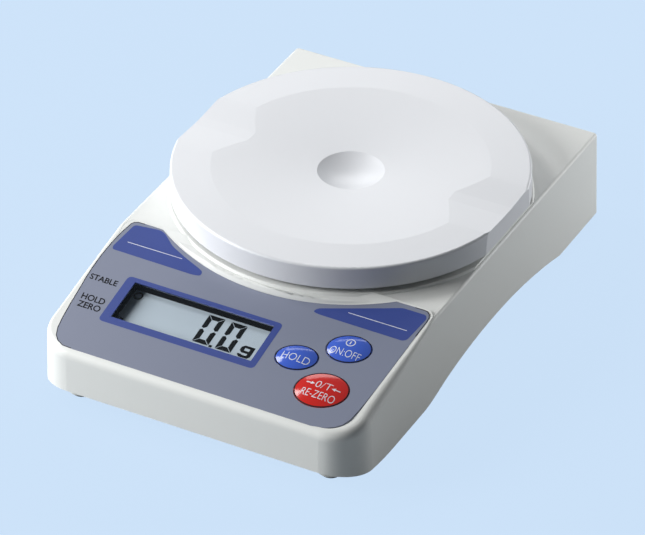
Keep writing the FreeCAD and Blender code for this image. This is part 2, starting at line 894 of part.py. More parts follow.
def key_cap(name):
    """Domed oval cap with a flange under the film and a plunger down to its switch."""
    cx, cv, a, b = keys[name]
    top = key_edge
    under = film_floor - thread_gap
    bottom = under - key_flange_thickness
    crown = top + key_crown
    r = key_skirt_r
    edges = [
        line((0, 0, bottom), (a + key_flange, 0, bottom)),
        line((a + key_flange, 0, bottom), (a + key_flange, 0, under)),
        line((a + key_flange, 0, under), (a, 0, under)),
        line((a, 0, under), (a, 0, top - r)),
        arc((a, 0, top - r), (a - r / 3, 0, top - r / 3), (a - r, 0, top)),
        arc((a - r, 0, top), (a * 0.52, 0, top + key_crown * 0.75), (0, 0, crown)),
        line((0, 0, crown), (0, 0, bottom)),
    ]
    cap = face_of(edges).revolve(Vector(0, 0, 0), Vector(0, 0, 1), 360)
    squeeze = FreeCAD.Matrix()
    squeeze.scale(1, b / a, 1)
    cap = cap.transformGeometry(squeeze)
    cap.rotate(Vector(0, 0, 0), Vector(0, 0, 1), key_tilt)
    cap.translate(Vector(cx, cv, 0))
    plunger = post(cx, cv, switch_top + switch_stem_out, under, plunger_r)
    return on_panel(joined(cap, plunger))


def load_cell():
    """Aluminium bending beam with its two linked holes and four tapped holes."""
    beam = box(-beam_width / 2, beam_width / 2, beam_front_y, beam_rear_y, beam_floor, beam_top)
    mid = (beam_floor + beam_top) / 2
    half = beam_width / 2 + 1
    for way in (-1, 1):
        eye = Part.makeCylinder(beam_hole_r, 2 * half, Vector(-half, pan_y + way * beam_hole_pitch / 2, mid),
                                Vector(1, 0, 0))
        beam = beam.cut(eye)
    reach = beam_hole_pitch / 2
    beam = beam.cut(box(-half, half, pan_y - reach, pan_y + reach, mid - beam_slot / 2, mid + beam_slot / 2))
    for y in base_screw_ys() + bracket_screw_ys():
        beam = beam.cut(post(0, y, beam_floor - 1, beam_top + 1, beam_screw_r + 2 * thread_gap))
    return beam


def strain_gauges():
    """Foil gauges over and under the beam's two thin places, each sealed in a soft block."""
    gauges = []
    for way in (-1, 1):
        y = pan_y + way * beam_hole_pitch / 2
        h = gauge_size / 2
        gauges.append(box(-h, h, y - h, y + h, beam_top, beam_top + gauge_thickness))
        gauges.append(box(-h, h, y - h, y + h, beam_floor - gauge_thickness, beam_floor))
    return gauges


def beam_shim(y0, y1, z0):
    """Steel shim between the beam and what it is screwed to."""
    plate = box(-beam_width / 2, beam_width / 2, y0, y1, z0, z0 + shim)
    for y in base_screw_ys() + bracket_screw_ys():
        plate = plate.cut(post(0, y, z0 - 1, z0 + shim + 1, beam_screw_r + screw_gap))
    return plate


def load_cell_shim():
    return beam_shim(beam_front_y, beam_front_y + shim_length, beam_floor - shim)


def bracket_shim():
    return beam_shim(beam_rear_y - shim_length, beam_rear_y, beam_top)


def load_cell_screws():
    length = beam_top - base_screw_short - base_screw_seat_z
    return [pan_head_screw(0, y, base_screw_seat_z, length, beam_screw_r) for y in base_screw_ys()]


def bracket_screws():
    top = bracket_z + bracket_thickness
    return [pan_head_screw(0, y, top, bracket_thickness + shim + bracket_screw_grip, beam_screw_r, up=False)
            for y in bracket_screw_ys()]


def hub_screw_places():
    r = hub_screw_circle_r
    return [(r * math.cos(math.radians(a)), pan_y + r * math.sin(math.radians(a))) for a in hub_screw_angles]


def load_bracket():
    """Steel plate from the beam's free end back over its middle, where the hub stands."""
    half = bracket_width / 2
    top = bracket_z + bracket_thickness
    plate = box(-half, half, pan_y, beam_rear_y, bracket_z, top)
    plate = joined(plate, post(0, pan_y, bracket_z, top, half))
    rear = [e for e in plate.Edges if e.BoundBox.ZLength > 1 and e.BoundBox.YMin > beam_rear_y - 1]
    plate = plate.makeFillet(bracket_corner_r, rear)
    for y in bracket_screw_ys():
        plate = plate.cut(post(0, y, 0, beyond, beam_screw_r + screw_gap))
    for x, y in hub_screw_places():
        plate = plate.cut(countersunk(x, y, 2 * thread_gap))
    return plate


def pan_support():
    """Moulded cross under the pan, on a hub that goes down through the deck."""
    base = bracket_z + bracket_thickness
    root = arm_root_width / 2
    tip = arm_tip_width / 2
    end = pan_boss_circle_r
    arm = face_of([
        line((hub_r, -root, arm_floor_z), (end, -tip, arm_floor_z)),
        arc((end, -tip, arm_floor_z), (end + tip, 0, arm_floor_z), (end, tip, arm_floor_z)),
        line((end, tip, arm_floor_z), (hub_r, root, arm_floor_z)),
        line((hub_r, root, arm_floor_z), (hub_r, -root, arm_floor_z)),
    ]).extrude(Vector(0, 0, arm_thickness))
    pin = post(end, 0, arm_floor_z, pad_top_z + pin_length, pin_r)
    cup = post(0, pan_y, arm_floor_z, arm_top_z, support_cup_r + support_cup_wall)
    hub = post(0, pan_y, base, arm_floor_z + support_plate, hub_r)
    shape = joined(cup, hub, *around_pan(joined(arm, pin)))
    shape = shape.cut(post(0, pan_y, arm_floor_z + support_plate, arm_top_z + 1, support_cup_r))
    for x, y in hub_screw_places():
        shape = shape.cut(post(x, y, base - 1, base + hub_screw_grip + 1, hub_screw_r + thread_gap))
    return shape


def countersunk(x, y, gap):
    """Countersunk screw up through the bracket into the hub, moved out by gap."""
    r = hub_screw_r + gap
    head_r = hub_screw_head_r + gap
    head = Part.makeCone(head_r, r, head_r - r, Vector(x, y, bracket_z))
    return joined(head, post(x, y, bracket_z, bracket_z + bracket_thickness + hub_screw_grip + gap, r))


def hub_screws():
    """Countersunk screws that hold the support's hub on the bracket."""
    half = slot_width / 3
    screws = []
    for x, y in hub_screw_places():
        slot = box(x - half, x + half, y - hub_screw_head_r, y + hub_screw_head_r,
                   bracket_z - 1, bracket_z + slot_depth / 2)
        screws.append(countersunk(x, y, 0).cut(slot))
    return screws


def around_pan(shape):
    """Four copies at the ends of the support's arms."""
    copies = []
    for k in range(4):
        one = shape.copy()
        one.rotate(Vector(0, 0, 0), Vector(0, 0, 1), 45 + 90 * k)
        one.translate(Vector(0, pan_y, 0))
        copies.append(one)
    return copies


def pan_pads():
    """Rubber washers on the support's pins, which carry the pan."""
    return around_pan(ring(pan_boss_circle_r, 0, arm_top_z, pad_top_z, pan_boss_r, pin_r + 2 * thread_gap))


def pan_profile(r, top, low, drop, out):
    """Half section of the pan's upper face and skirt, lowered by drop and moved in by out."""
    dish_z = top - dish_depth - drop
    deep = dish_z - dimple_depth
    inner_r = dimple_r + 0.3 * drop
    edge = pan_edge_r if drop == 0 else 0.1
    rim = r - out
    return face_of([
        arc((0, 0, deep), (dimple_r * 0.55, 0, deep + dimple_depth * 0.3), (inner_r, 0, dish_z)),
        line((inner_r, 0, dish_z), (dish_r, 0, top - drop)),
        line((dish_r, 0, top - drop), (rim - edge, 0, top - drop)),
        arc((rim - edge, 0, top - drop), (rim - 0.3 * edge, 0, top - drop - 0.3 * edge),
            (rim, 0, top - drop - edge)),
        line((rim, 0, top - drop - edge), (rim + pan_draft, 0, low)),
        line((rim + pan_draft, 0, low), (0, 0, low)),
        line((0, 0, low), (0, 0, deep)),
    ])


def pouring_notches():
    """Shallow trough across each flat, from the dish out through the rim."""
    z = pan_top
    floor_z = z - spout_depth
    wide = spout_half_width
    narrow = spout_floor_half_width
    trough = face_of([
        line((0, -wide, z), (0, -narrow, floor_z)),
        line((0, -narrow, floor_z), (0, narrow, floor_z)),
        line((0, narrow, floor_z), (0, wide, z)),
        line((0, wide, z), (0, wide, z + 2)),
        line((0, wide, z + 2), (0, -wide, z + 2)),
        line((0, -wide, z + 2), (0, -wide, z)),
    ]).extrude(Vector(pan_r, 0, 0))
    trough.translate(Vector(dish_r / 2, pan_y, 0))
    return [trough, trough.mirror(Vector(0, 0, 0), Vector(1, 0, 0))]


def weighing_pan():
    """Round plate with a shallow dish, a dimple, a skirt and a pouring flat on each side."""
    low = pan_top - pan_skirt
    turn = (Vector(0, 0, 0), Vector(0, 0, 1), 360)
    outside = pan_profile(pan_r, pan_top, low, 0, 0).revolve(*turn)
    inside = pan_profile(pan_r, pan_top, low - 1, pan_wall, pan_wall).revolve(*turn)
    for shape in (outside, inside):
        shape.translate(Vector(0, pan_y, 0))
    outside = outside.common(box(-pan_flat_x, pan_flat_x, -beyond, beyond, 0, beyond))
    inner_x = pan_flat_x - pan_wall
    inside = inside.common(box(-inner_x, inner_x, -beyond, beyond, 0, beyond))
    under_z = pan_top - pan_wall
    bosses = around_pan(ring(pan_boss_circle_r, 0, pad_top_z, under_z, pan_boss_r, pin_r + fit_gap))
    rib_r = pan_rib_r
    bosses.append(ring(0, pan_y, under_z - dish_depth, under_z, rib_r, rib_r - pan_rib_size))
    pan = joined(outside.cut(inside), *[boss.common(inside) for boss in bosses])
    for notch in pouring_notches():
        pan = pan.cut(notch)
    return pan


def overload_stop():
    """Set screw under the beam's free end that ends its travel."""
    top = beam_floor - overload_travel - thread_gap
    low = top - stop_screw_length
    slot = box(-slot_width / 2, slot_width / 2, stop_y - stop_screw_r, stop_y + stop_screw_r,
               low, low + slot_depth)
    return post(0, stop_y, low, top, stop_screw_r).cut(slot)


def cell_places():
    """Middle of each cell, x and y, and the way that its positive end points."""
    reach = cell_length / 2 + cell_gap / 2
    return [(sx * reach, box_front_y + cell_side_gap + cell_r + k * cell_pitch, 1 - 2 * k)
            for k in range(2) for sx in (-1, 1)]


def battery_cells():
    """Four AA cells, each with its raised positive end."""
    cells = []
    for x, y, way in cell_places():
        body_length = cell_length - cell_nub
        start = x - way * cell_length / 2
        can = Part.makeCylinder(cell_r, body_length, Vector(start, y, cell_z), Vector(way, 0, 0))
        rims = [e for e in can.Edges if e.BoundBox.XLength < 1e-6]
        can = can.makeFillet(cell_edge_r, rims)
        nub = Part.makeCylinder(cell_nub_r, cell_length, Vector(start, y, cell_z), Vector(way, 0, 0))
        cells.append(joined(can, nub))
    return cells


def cell_ends():
    """Outer end of each cell: x of the end, y, and whether it is the positive one."""
    ends = []
    for x, y, way in cell_places():
        out = math.copysign(1, x)
        ends.append((x + out * cell_length / 2, y, out, out == way))
    return ends


def battery_contacts():
    """Plated end plates, one behind each cell's outer end."""
    plates = []
    for x, y, out, positive in cell_ends():
        wall_x = out * box_half_length
        inner = wall_x - out * contact
        plate = box(min(wall_x, inner), max(wall_x, inner), y - contact_half, y + contact_half,
                    cell_z - contact_half, cell_z + contact_half)
        if positive:
            nub = Part.makeCylinder(
                contact_nub_r, abs(inner - x), Vector(inner, y, cell_z), Vector(-out, 0, 0))
            plate = joined(plate, nub)
        plates.append(plate)
    return plates


def battery_springs():
    """Conical springs on the plates that meet a cell's flat end."""
    springs = []
    for x, y, out, positive in cell_ends():
        if positive:
            continue
        inner = out * (box_half_length - contact)
        room = abs(inner - x)
        wide = spring_outer_r
        narrow = spring_inner_r
        cone = Part.makeCone(wide, narrow, room, Vector(inner, y, cell_z), Vector(-out, 0, 0))
        core = Part.makeCone(wide - spring_wall, narrow - spring_wall, room,
                             Vector(inner, y, cell_z), Vector(-out, 0, 0))
        springs.append(cone.cut(core))
    return springs


def battery_door():
    """Door in the base, on two hinge pins at its rear edge, with a spring latch in front."""
    x = door_half_length
    low = door_low_z
    front = door_front_y
    pin_half = x + box_wall
    plate = box(-x, x, front, hinge_y(), low, low + door_thickness)
    roll = Part.makeCylinder(door_thickness / 2, 2 * x, Vector(-x, hinge_y(), hinge_z()), Vector(1, 0, 0))
    pins = Part.makeCylinder(
        hinge_pin_r, 2 * pin_half, Vector(-pin_half, hinge_y(), hinge_z()), Vector(1, 0, 0))
    door = joined(plate, roll, pins)
    for way in (-1, 1):
        sx = way * latch_width / 2
        slit = box(sx - latch_slit / 2, sx + latch_slit / 2, front, front + latch_length, low, cell_z)
        door = door.cut(slit)
    half = latch_width / 2 - 2 * latch_slit
    grip_y = front + latch_grip_start
    grip = box(-half, half, grip_y, grip_y + latch_grip_length, low, low + door_thickness / 3)
    rib_y = box_front_y + box_depth / 2
    rib = box(-x + cell_r, x - cell_r, rib_y - door_rib / 2, rib_y + door_rib / 2,
              low + door_thickness / 2, low + door_thickness + door_rib_height)
    return joined(door.cut(grip), rib)


def dc_jack():
    """Power jack behind the hole in the rear wall, with its sprung sleeve and centre pin."""
    rear = jack_face_y
    forward = Vector(0, -1, 0)
    body = box(jack_x - jack_width / 2, jack_x + jack_width / 2, rear - jack_depth, rear,
               jack_z - jack_height / 2, jack_z + jack_height / 2)
    deep = jack_depth - jack_bore_floor
    bore = Part.makeCylinder(jack_bore_r, deep, Vector(jack_x, rear, jack_z), forward)
    pin_start = Vector(jack_x, rear - jack_pin_set_back, jack_z)
    pin = Part.makeCylinder(jack_pin_r, deep, pin_start, forward)
    return joined(body.cut(bore), pin)


def write(node, solids):
    """Write one node's STEP file."""
    shape = solids if isinstance(solids, Part.Shape) else Part.makeCompound(solids)
    shape.exportStep(os.path.join("parts", node + ".step"))


os.makedirs("parts", exist_ok=True)
for make in (
        upper_case, lower_case, case_screws, rubber_feet, panel_overlay, display_window,
        lcd_holder, lcd_glass, contact_strips, main_board, board_screws, board_chips,
        board_capacitors, clock_crystal, lead_socket, tact_switches,
        load_cell, strain_gauges, load_cell_shim, load_cell_screws,
        load_bracket, bracket_shim, bracket_screws, hub_screws, pan_support, pan_pads,
        weighing_pan, overload_stop, battery_cells, battery_contacts, battery_springs,
        battery_door, dc_jack):
    write(make.__name__, make())
for name in keys:
    write(name, key_cap(name))
    write(name.replace("_key", "_switch_stem"), switch_stem(name))
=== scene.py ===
# Looks of a compact electronic balance: moulded ABS case, round pan, printed sloped panel
# with a liquid-crystal display and three domed oval keys. Lengths are in metres.
import math

import bmesh
import bpy
from mathutils import Matrix, Vector
from mathutils.bvhtree import BVHTree


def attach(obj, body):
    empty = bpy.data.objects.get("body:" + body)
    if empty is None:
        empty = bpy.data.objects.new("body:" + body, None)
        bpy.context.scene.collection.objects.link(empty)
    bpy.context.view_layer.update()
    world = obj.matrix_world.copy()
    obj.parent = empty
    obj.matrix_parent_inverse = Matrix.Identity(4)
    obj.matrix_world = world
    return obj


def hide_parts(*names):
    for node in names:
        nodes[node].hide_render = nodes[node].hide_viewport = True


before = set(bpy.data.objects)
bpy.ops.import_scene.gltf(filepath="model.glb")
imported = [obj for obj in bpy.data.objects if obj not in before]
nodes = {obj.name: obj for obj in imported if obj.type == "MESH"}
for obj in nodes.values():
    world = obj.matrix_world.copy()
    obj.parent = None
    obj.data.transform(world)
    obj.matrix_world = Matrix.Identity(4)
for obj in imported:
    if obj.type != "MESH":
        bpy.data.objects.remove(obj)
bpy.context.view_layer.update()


# Camera, studio and table.
# The camera stands at the photograph's place: far off, above the front right corner. A broad
# softbox low at the front left gives most of the light, and three weaker ones fill the shade.
mm = 0.001
camera_place = (641.28 * mm, -1197.35 * mm, 974.59 * mm)
camera_azimuth = math.radians(28.186)
camera_elevation = math.radians(35.231)
camera_roll = math.radians(-0.116)
photo_width = 645
focal_pixels = 4626.8
camera_data = bpy.data.cameras.new("camera")
camera_data.sensor_width = 36.0
camera_data.lens = focal_pixels / photo_width * camera_data.sensor_width
camera_data.clip_start = 0.05
camera_data.clip_end = 20.0
camera = bpy.data.objects.new("camera", camera_data)
bpy.context.collection.objects.link(camera)
camera.matrix_world = (
    Matrix.Translation(camera_place)
    @ Matrix.Rotation(camera_azimuth, 4, "Z")
    @ Matrix.Rotation(math.pi / 2 - camera_elevation, 4, "X")
    @ Matrix.Rotation(camera_roll, 4, "Z")
)
bpy.context.scene.camera = camera
bpy.context.scene.view_settings.view_transform = "Standard"


def colour(code, share=1.0):
    """sRGB hex code as a linear colour, of which share is left."""
    parts = [int(code[i:i + 2], 16) / 255 for i in (1, 3, 5)]
    linear = [p / 12.92 if p <= 0.04045 else ((p + 0.055) / 1.055) ** 2.4 for p in parts]
    return (*(p * share for p in linear), 1.0)


def add_node(tree, kind, inputs=None, **settings):
    """Add a node. inputs maps a socket to a value, or to another node's output to link it.

    On a colour Mix node, socket 0 is the share, 6 and 7 are the colours and output 2 the result.
    """
    node = tree.nodes.new(kind)
    for name, value in settings.items():
        setattr(node, name, value)
    for key, value in (inputs or {}).items():
        if isinstance(value, bpy.types.NodeSocket):
            tree.links.new(value, node.inputs[key])
        else:
            node.inputs[key].default_value = value
    return node


def empty_material(name):
    """New material with an empty node tree."""
    material = bpy.data.materials.new(name)
    material.use_nodes = True
    material.node_tree.nodes.clear()
    return material, material.node_tree


def softbox(name, azimuth, elevation, distance, size, level):
    """Square area lamp that faces the balance. level is its light on a surface that faces it."""
    lamp = bpy.data.lights.new(name, "AREA")
    lamp.shape = "RECTANGLE"
    lamp.size = size
    lamp.size_y = size
    lamp.energy = level * math.pi ** 2 * distance ** 2
    stand = bpy.data.objects.new(name, lamp)
    bpy.context.collection.objects.link(stand)
    a = math.radians(azimuth)
    e = math.radians(elevation)
    away = Vector((math.cos(a) * math.cos(e), math.sin(a) * math.cos(e), math.sin(e)))
    stand.location = away * distance
    stand.rotation_euler = away.to_track_quat("Z", "Y").to_euler()


softbox("key_softbox", 212, 25, 0.9, 0.45, 1.20)
softbox("right_softbox", 51, 12, 0.42, 0.25, 0.59)
softbox("rear_softbox", 120, 28, 0.9, 0.45, 0.22)
softbox("left_softbox", 175, 48, 0.9, 0.25, 0.29)

# The room is a faint fill. The camera sees a pale blue backdrop in its place, clear film lets it
# through, and glossy surfaces mirror a share of it.
fill_level = 0.03
backdrop_level = 1.0
mirrored_share = 0.45
world = bpy.data.worlds.new("studio")
bpy.context.scene.world = world
world.use_nodes = True
room = world.node_tree
room.nodes.clear()
background = add_node(room, "ShaderNodeBackground", {
    "Color": colour("#eeedea"), "Strength": fill_level})
backdrop = add_node(room, "ShaderNodeBackground", {
    "Color": colour("#cde3fa"), "Strength": backdrop_level})
seen = add_node(room, "ShaderNodeLightPath")
seen_through = add_node(room, "ShaderNodeMath", {
    0: seen.outputs["Is Camera Ray"],
    1: seen.outputs["Is Transmission Ray"]}, operation="MAXIMUM")
seen_mirrored = add_node(room, "ShaderNodeMath", {
    0: seen.outputs["Is Glossy Ray"], 1: mirrored_share}, operation="MULTIPLY")
seen_or_mirrored = add_node(room, "ShaderNodeMath", {
    0: seen_through.outputs[0], 1: seen_mirrored.outputs[0]}, operation="MAXIMUM")
choice = add_node(room, "ShaderNodeMixShader", {
    0: seen_or_mirrored.outputs[0], 1: background.outputs[0], 2: backdrop.outputs[0]})
add_node(room, "ShaderNodeOutputWorld", {"Surface": choice.outputs[0]})

# The table is matt card in the photograph's pale blue. For the camera alone most of it is a glow,
# so that its colour holds under the lamps, and the rest still takes the balance's shadow.
reach = 6.0
glow_share = 0.94
glow_level = 1.02
floor_mesh = bpy.data.meshes.new("table_top")
floor_mesh.from_pydata(
    [(-reach, -reach, 0), (reach, -reach, 0), (reach, reach, 0), (-reach, reach, 0)],
    [], [(0, 1, 2, 3)])
floor = bpy.data.objects.new("table_top", floor_mesh)
bpy.context.collection.objects.link(floor)
card, tree = empty_material("blue_card")
card_bsdf = add_node(tree, "ShaderNodeBsdfDiffuse", {"Color": colour("#b4bcc4")})
card_glow = add_node(tree, "ShaderNodeEmission", {
    "Color": colour("#cde3fa"), "Strength": glow_level})
path = add_node(tree, "ShaderNodeLightPath")
share = add_node(tree, "ShaderNodeMath", {
    0: path.outputs["Is Camera Ray"], 1: glow_share}, operation="MULTIPLY")
card_mix = add_node(tree, "ShaderNodeMixShader", {
    0: share.outputs[0], 1: card_bsdf.outputs[0], 2: card_glow.outputs[0]})
add_node(tree, "ShaderNodeOutputMaterial", {"Surface": card_mix.outputs[0]})
floor_mesh.materials.append(card)


# Case: two mouldings of warm white ABS, the upper shell with deck and panel bed and the base
# below. An eroded mould gives them a fine matt grain. The base is screwed up into the shell.
def dress(node_name, material):
    """Give every slot of a CAD node one material."""
    materials = nodes[node_name].data.materials
    for i in range(len(materials)):
        materials[i] = material
    if not materials:
        materials.append(material)


def moulded(name, base, roughness, grain_mm, bump, shade=0.02, coat=0.0):
    """Moulded plastic or rubber: the mould leaves an even grain, and the colour drifts a little.

    A mould's real grain is about 0.1 mm. grain_mm is coarser, so that it shows.
    """
    drift_size = 40 * mm
    grain_depth = 0.05 * mm
    gloss_spread = 0.05
    material, tree = empty_material(name)
    place = add_node(tree, "ShaderNodeTexCoord")
    drift = add_node(tree, "ShaderNodeTexNoise", {
        "Vector": place.outputs["Object"], "Scale": 1 / drift_size, "Detail": 2.0})
    tone = add_node(tree, "ShaderNodeMix", {
        0: drift.outputs["Fac"], 6: colour(base, 1 - shade), 7: colour(base)}, data_type="RGBA")
    grain = add_node(tree, "ShaderNodeTexNoise", {
        "Vector": place.outputs["Object"], "Scale": 1 / (grain_mm * mm),
        "Detail": 3.0, "Roughness": 0.6})
    relief = add_node(tree, "ShaderNodeBump", {
        "Height": grain.outputs["Fac"], "Strength": bump, "Distance": grain_depth})
    shine = add_node(tree, "ShaderNodeMapRange", {
        "Value": grain.outputs["Fac"],
        "To Min": roughness - gloss_spread, "To Max": roughness + gloss_spread})
    surface = add_node(tree, "ShaderNodeBsdfPrincipled", {
        "Base Color": tone.outputs[2], "Roughness": shine.outputs[0], "IOR": 1.53,
        "Normal": relief.outputs[0], "Coat Weight": coat, "Coat Roughness": 0.08})
    add_node(tree, "ShaderNodeOutputMaterial", {"Surface": surface.outputs[0]})
    return material


# Both mouldings give a soft, even sheen with no clear reflection. The base is a little duller.
case_abs = moulded("moulded_abs_warm_white", "#e9ebe8", 0.48, 0.9, 0.12)
base_abs = moulded("moulded_abs_base", "#dfe0dc", 0.52, 0.9, 0.12)
dress("upper_case", case_abs)
dress("lower_case", base_abs)


# Main board: green solder mask on glass-fibre laminate, screwed under the panel.
# Copper runs under the mask show as paler green lines, about a third of a millimetre wide.
def solder_mask(name):
    """Smooth dark green lacquer with paler runs under it, over the laminate's faint weave."""
    weave_size = 0.5 * mm
    weave_depth = 0.02 * mm
    run_block = 9 * mm
    material, tree = empty_material(name)
    place = add_node(tree, "ShaderNodeTexCoord")
    runs = add_node(tree, "ShaderNodeTexBrick", {
        "Vector": place.outputs["Object"], "Color1": colour("#0f4a2a"),
        "Color2": colour("#12552f"), "Mortar": colour("#2d8a55"), "Scale": 1 / run_block,
        "Mortar Size": 0.02, "Bias": 0.0, "Brick Width": 0.9, "Row Height": 0.16})
    weave = add_node(tree, "ShaderNodeTexNoise", {
        "Vector": place.outputs["Object"], "Scale": 1 / weave_size})
    relief = add_node(tree, "ShaderNodeBump", {
        "Height": weave.outputs["Fac"], "Strength": 0.1, "Distance": weave_depth})
    surface = add_node(tree, "ShaderNodeBsdfPrincipled", {
        "Base Color": runs.outputs["Color"], "Roughness": 0.35, "IOR": 1.55,
        "Normal": relief.outputs[0]})
    add_node(tree, "ShaderNodeOutputMaterial", {"Surface": surface.outputs[0]})
    return material


def metal(name, base, roughness, streak_mm, stretch, bump):
    """Bare or plated metal. Streaks of the tool or the rolling run along Y, longer by stretch."""
    streak_depth = 0.03 * mm
    gloss_spread = 0.08
    darkest = 0.88
    material, tree = empty_material(name)
    place = add_node(tree, "ShaderNodeTexCoord")
    drawn = add_node(tree, "ShaderNodeMapping", {
        "Vector": place.outputs["Object"], "Scale": (1.0, 1 / stretch, 1.0)})
    streaks = add_node(tree, "ShaderNodeTexNoise", {
        "Vector": drawn.outputs[0], "Scale": 1 / (streak_mm * mm),
        "Detail": 4.0, "Roughness": 0.65})
    relief = add_node(tree, "ShaderNodeBump", {
        "Height": streaks.outputs["Fac"], "Strength": bump, "Distance": streak_depth})
    shine = add_node(tree, "ShaderNodeMapRange", {
        "Value": streaks.outputs["Fac"],
        "To Min": roughness - gloss_spread, "To Max": roughness + gloss_spread})
    tone = add_node(tree, "ShaderNodeMix", {
        0: streaks.outputs["Fac"], 6: colour(base, darkest), 7: colour(base)}, data_type="RGBA")
    surface = add_node(tree, "ShaderNodeBsdfPrincipled", {
        "Base Color": tone.outputs[2], "Metallic": 1.0, "Roughness": shine.outputs[0],
        "Normal": relief.outputs[0]})
    add_node(tree, "ShaderNodeOutputMaterial", {"Surface": surface.outputs[0]})
    return material


# Zinc plate is a cool grey with a blurred shine.
zinc_steel = metal("zinc_plated_steel", "#c3c6ca", 0.34, 0.5, 3.0, 0.08)
dress("main_board", solder_mask("solder_mask_on_laminate"))
dress("board_screws", zinc_steel)


# Parts on the board: chips in black moulding compound, electrolytic capacitors in dark shrink
# sleeves with bare tops, the crystal's nickel-plated can and the ivory socket for the leads.
def sleeved_can(name, sleeve, can):
    """Glossy sleeve with a bare aluminium top, where the face looks down from the board."""
    top_from = -0.92
    top_to = -0.85
    roughness = 0.3
    gloss_spread = 0.06
    material, tree = empty_material(name)
    geometry = add_node(tree, "ShaderNodeNewGeometry")
    split = add_node(tree, "ShaderNodeSeparateXYZ", {0: geometry.outputs["Normal"]})
    sleeved = add_node(tree, "ShaderNodeMapRange", {
        "Value": split.outputs["Z"], "From Min": top_from, "From Max": top_to})
    place = add_node(tree, "ShaderNodeTexCoord")
    grain = add_node(tree, "ShaderNodeTexNoise", {
        "Vector": place.outputs["Object"], "Scale": 1 / (0.4 * mm)})
    shine = add_node(tree, "ShaderNodeMapRange", {
        "Value": grain.outputs["Fac"],
        "To Min": roughness - gloss_spread, "To Max": roughness + gloss_spread})
    tone = add_node(tree, "ShaderNodeMix", {
        0: sleeved.outputs[0], 6: colour(can), 7: colour(sleeve)}, data_type="RGBA")
    bare = add_node(tree, "ShaderNodeMath", {
        0: 1.0, 1: sleeved.outputs[0]}, operation="SUBTRACT")
    surface = add_node(tree, "ShaderNodeBsdfPrincipled", {
        "Base Color": tone.outputs[2], "Metallic": bare.outputs[0],
        "Roughness": shine.outputs[0]})
    add_node(tree, "ShaderNodeOutputMaterial", {"Surface": surface.outputs[0]})
    return material


# The compound is a dull black with a sandy grain, the nickel can is warm and bright, and the
# nylon of the socket has a soft waxy gloss.
chip_compound = moulded("black_epoxy_compound", "#1d1e20", 0.62, 0.25, 0.25)
nickel_can = metal("nickel_plated_can", "#cfccc2", 0.22, 0.6, 2.0, 0.05)
dress("board_chips", chip_compound)
dress("board_capacitors", sleeved_can("sleeved_aluminium_can", "#141a33", "#c4c6c8"))
dress("clock_crystal", nickel_can)
dress("lead_socket", moulded("ivory_nylon", "#dcd8c8", 0.45, 0.6, 0.08))

# Key switches: small tact switches soldered to the board under the keys. Their bodies are
# moulded in black nylon and their sprung stems in brown nylon, both with a low waxy gloss.
switch_nylon = moulded("black_nylon", "#1b1b1d", 0.5, 0.4, 0.12)
stem_nylon = moulded("brown_nylon", "#4a3024", 0.42, 0.4, 0.1)
dress("tact_switches", switch_nylon)
for stem in ("hold_switch_stem", "on_off_switch_stem", "zero_switch_stem"):
    dress(stem, stem_nylon)

# Display: a pale grey liquid-crystal cell in a black moulded holder, joined to the board by two
# layered rubber strips. The segments that are on show as near-black shapes on the cell's surface.
# Places on the panel are in millimetres: x to the right, and v up the slope from its rear line.
panel_slope = math.radians(12.4)
panel_rear_y = -36.4
panel_rear_z = 36.4
panel_turn = (
    Matrix.Translation((0, panel_rear_y * mm, panel_rear_z * mm))
    @ Matrix.Rotation(panel_slope, 4, "X")
)
glass_top = -3.9  # upper face of the cell, from the panel's plane
segment_depth = 0.04


def made_mesh(name, holder):
    """Plain mesh from a text, curve or modified object, which is then removed."""
    bpy.context.collection.objects.link(holder)
    bpy.context.view_layer.update()
    evaluated = holder.evaluated_get(bpy.context.evaluated_depsgraph_get())
    mesh = bpy.data.meshes.new_from_object(evaluated)
    mesh.name = name
    bpy.data.objects.remove(holder)
    return mesh


def flat_shapes(name, loops, thickness):
    """Thin sheet in the XY plane from closed loops of points. A loop inside another is a hole."""
    curve = bpy.data.curves.new(name, "CURVE")
    curve.dimensions = "2D"
    curve.fill_mode = "BOTH"
    curve.extrude = thickness / 2 * mm
    for loop in loops:
        spline = curve.splines.new("POLY")
        spline.points.add(len(loop) - 1)
        for point, (x, v) in zip(spline.points, loop):
            point.co = (x * mm, v * mm, 0, 1)
        spline.use_cyclic_u = True
    return made_mesh(name, bpy.data.objects.new(name, curve))


def piece(name, meshes, place, material, body):
    """One finished piece from meshes in the XY plane, carried to its place, riding on a body."""
    weld_distance = 1e-7
    whole = bmesh.new()
    for mesh in meshes:
        whole.from_mesh(mesh)
        bpy.data.meshes.remove(mesh)
    bmesh.ops.remove_doubles(whole, verts=whole.verts, dist=weld_distance)
    bmesh.ops.transform(whole, matrix=place, verts=whole.verts)
    bmesh.ops.recalc_face_normals(whole, faces=whole.faces)
    mesh = bpy.data.meshes.new(name)
    whole.to_mesh(mesh)
    whole.free()
    mesh.materials.append(material)
    thing = bpy.data.objects.new(name, mesh)
    bpy.context.collection.objects.link(thing)
    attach(thing, body)
    return thing


def on_panel(lift):
    """Place of a sheet whose middle lies lift above the panel's plane."""
    return panel_turn @ Matrix.Translation((0, 0, lift * mm))


def rectangle(x0, x1, v0, v1):
    """Closed loop of a box's four corners."""
    return [(x0, v0), (x1, v0), (x1, v1), (x0, v1)]


def oval_loop(cx, cv, a, b, turn=0.0, steps=72):
    """Closed loop of points round an oval."""
    points = []
    for k in range(steps):
        t = 2 * math.pi * k / steps
        x = a * math.cos(t)
        v = b * math.sin(t)
        points.append((cx + x * math.cos(turn) - v * math.sin(turn),
                       cv + x * math.sin(turn) + v * math.cos(turn)))
    return points


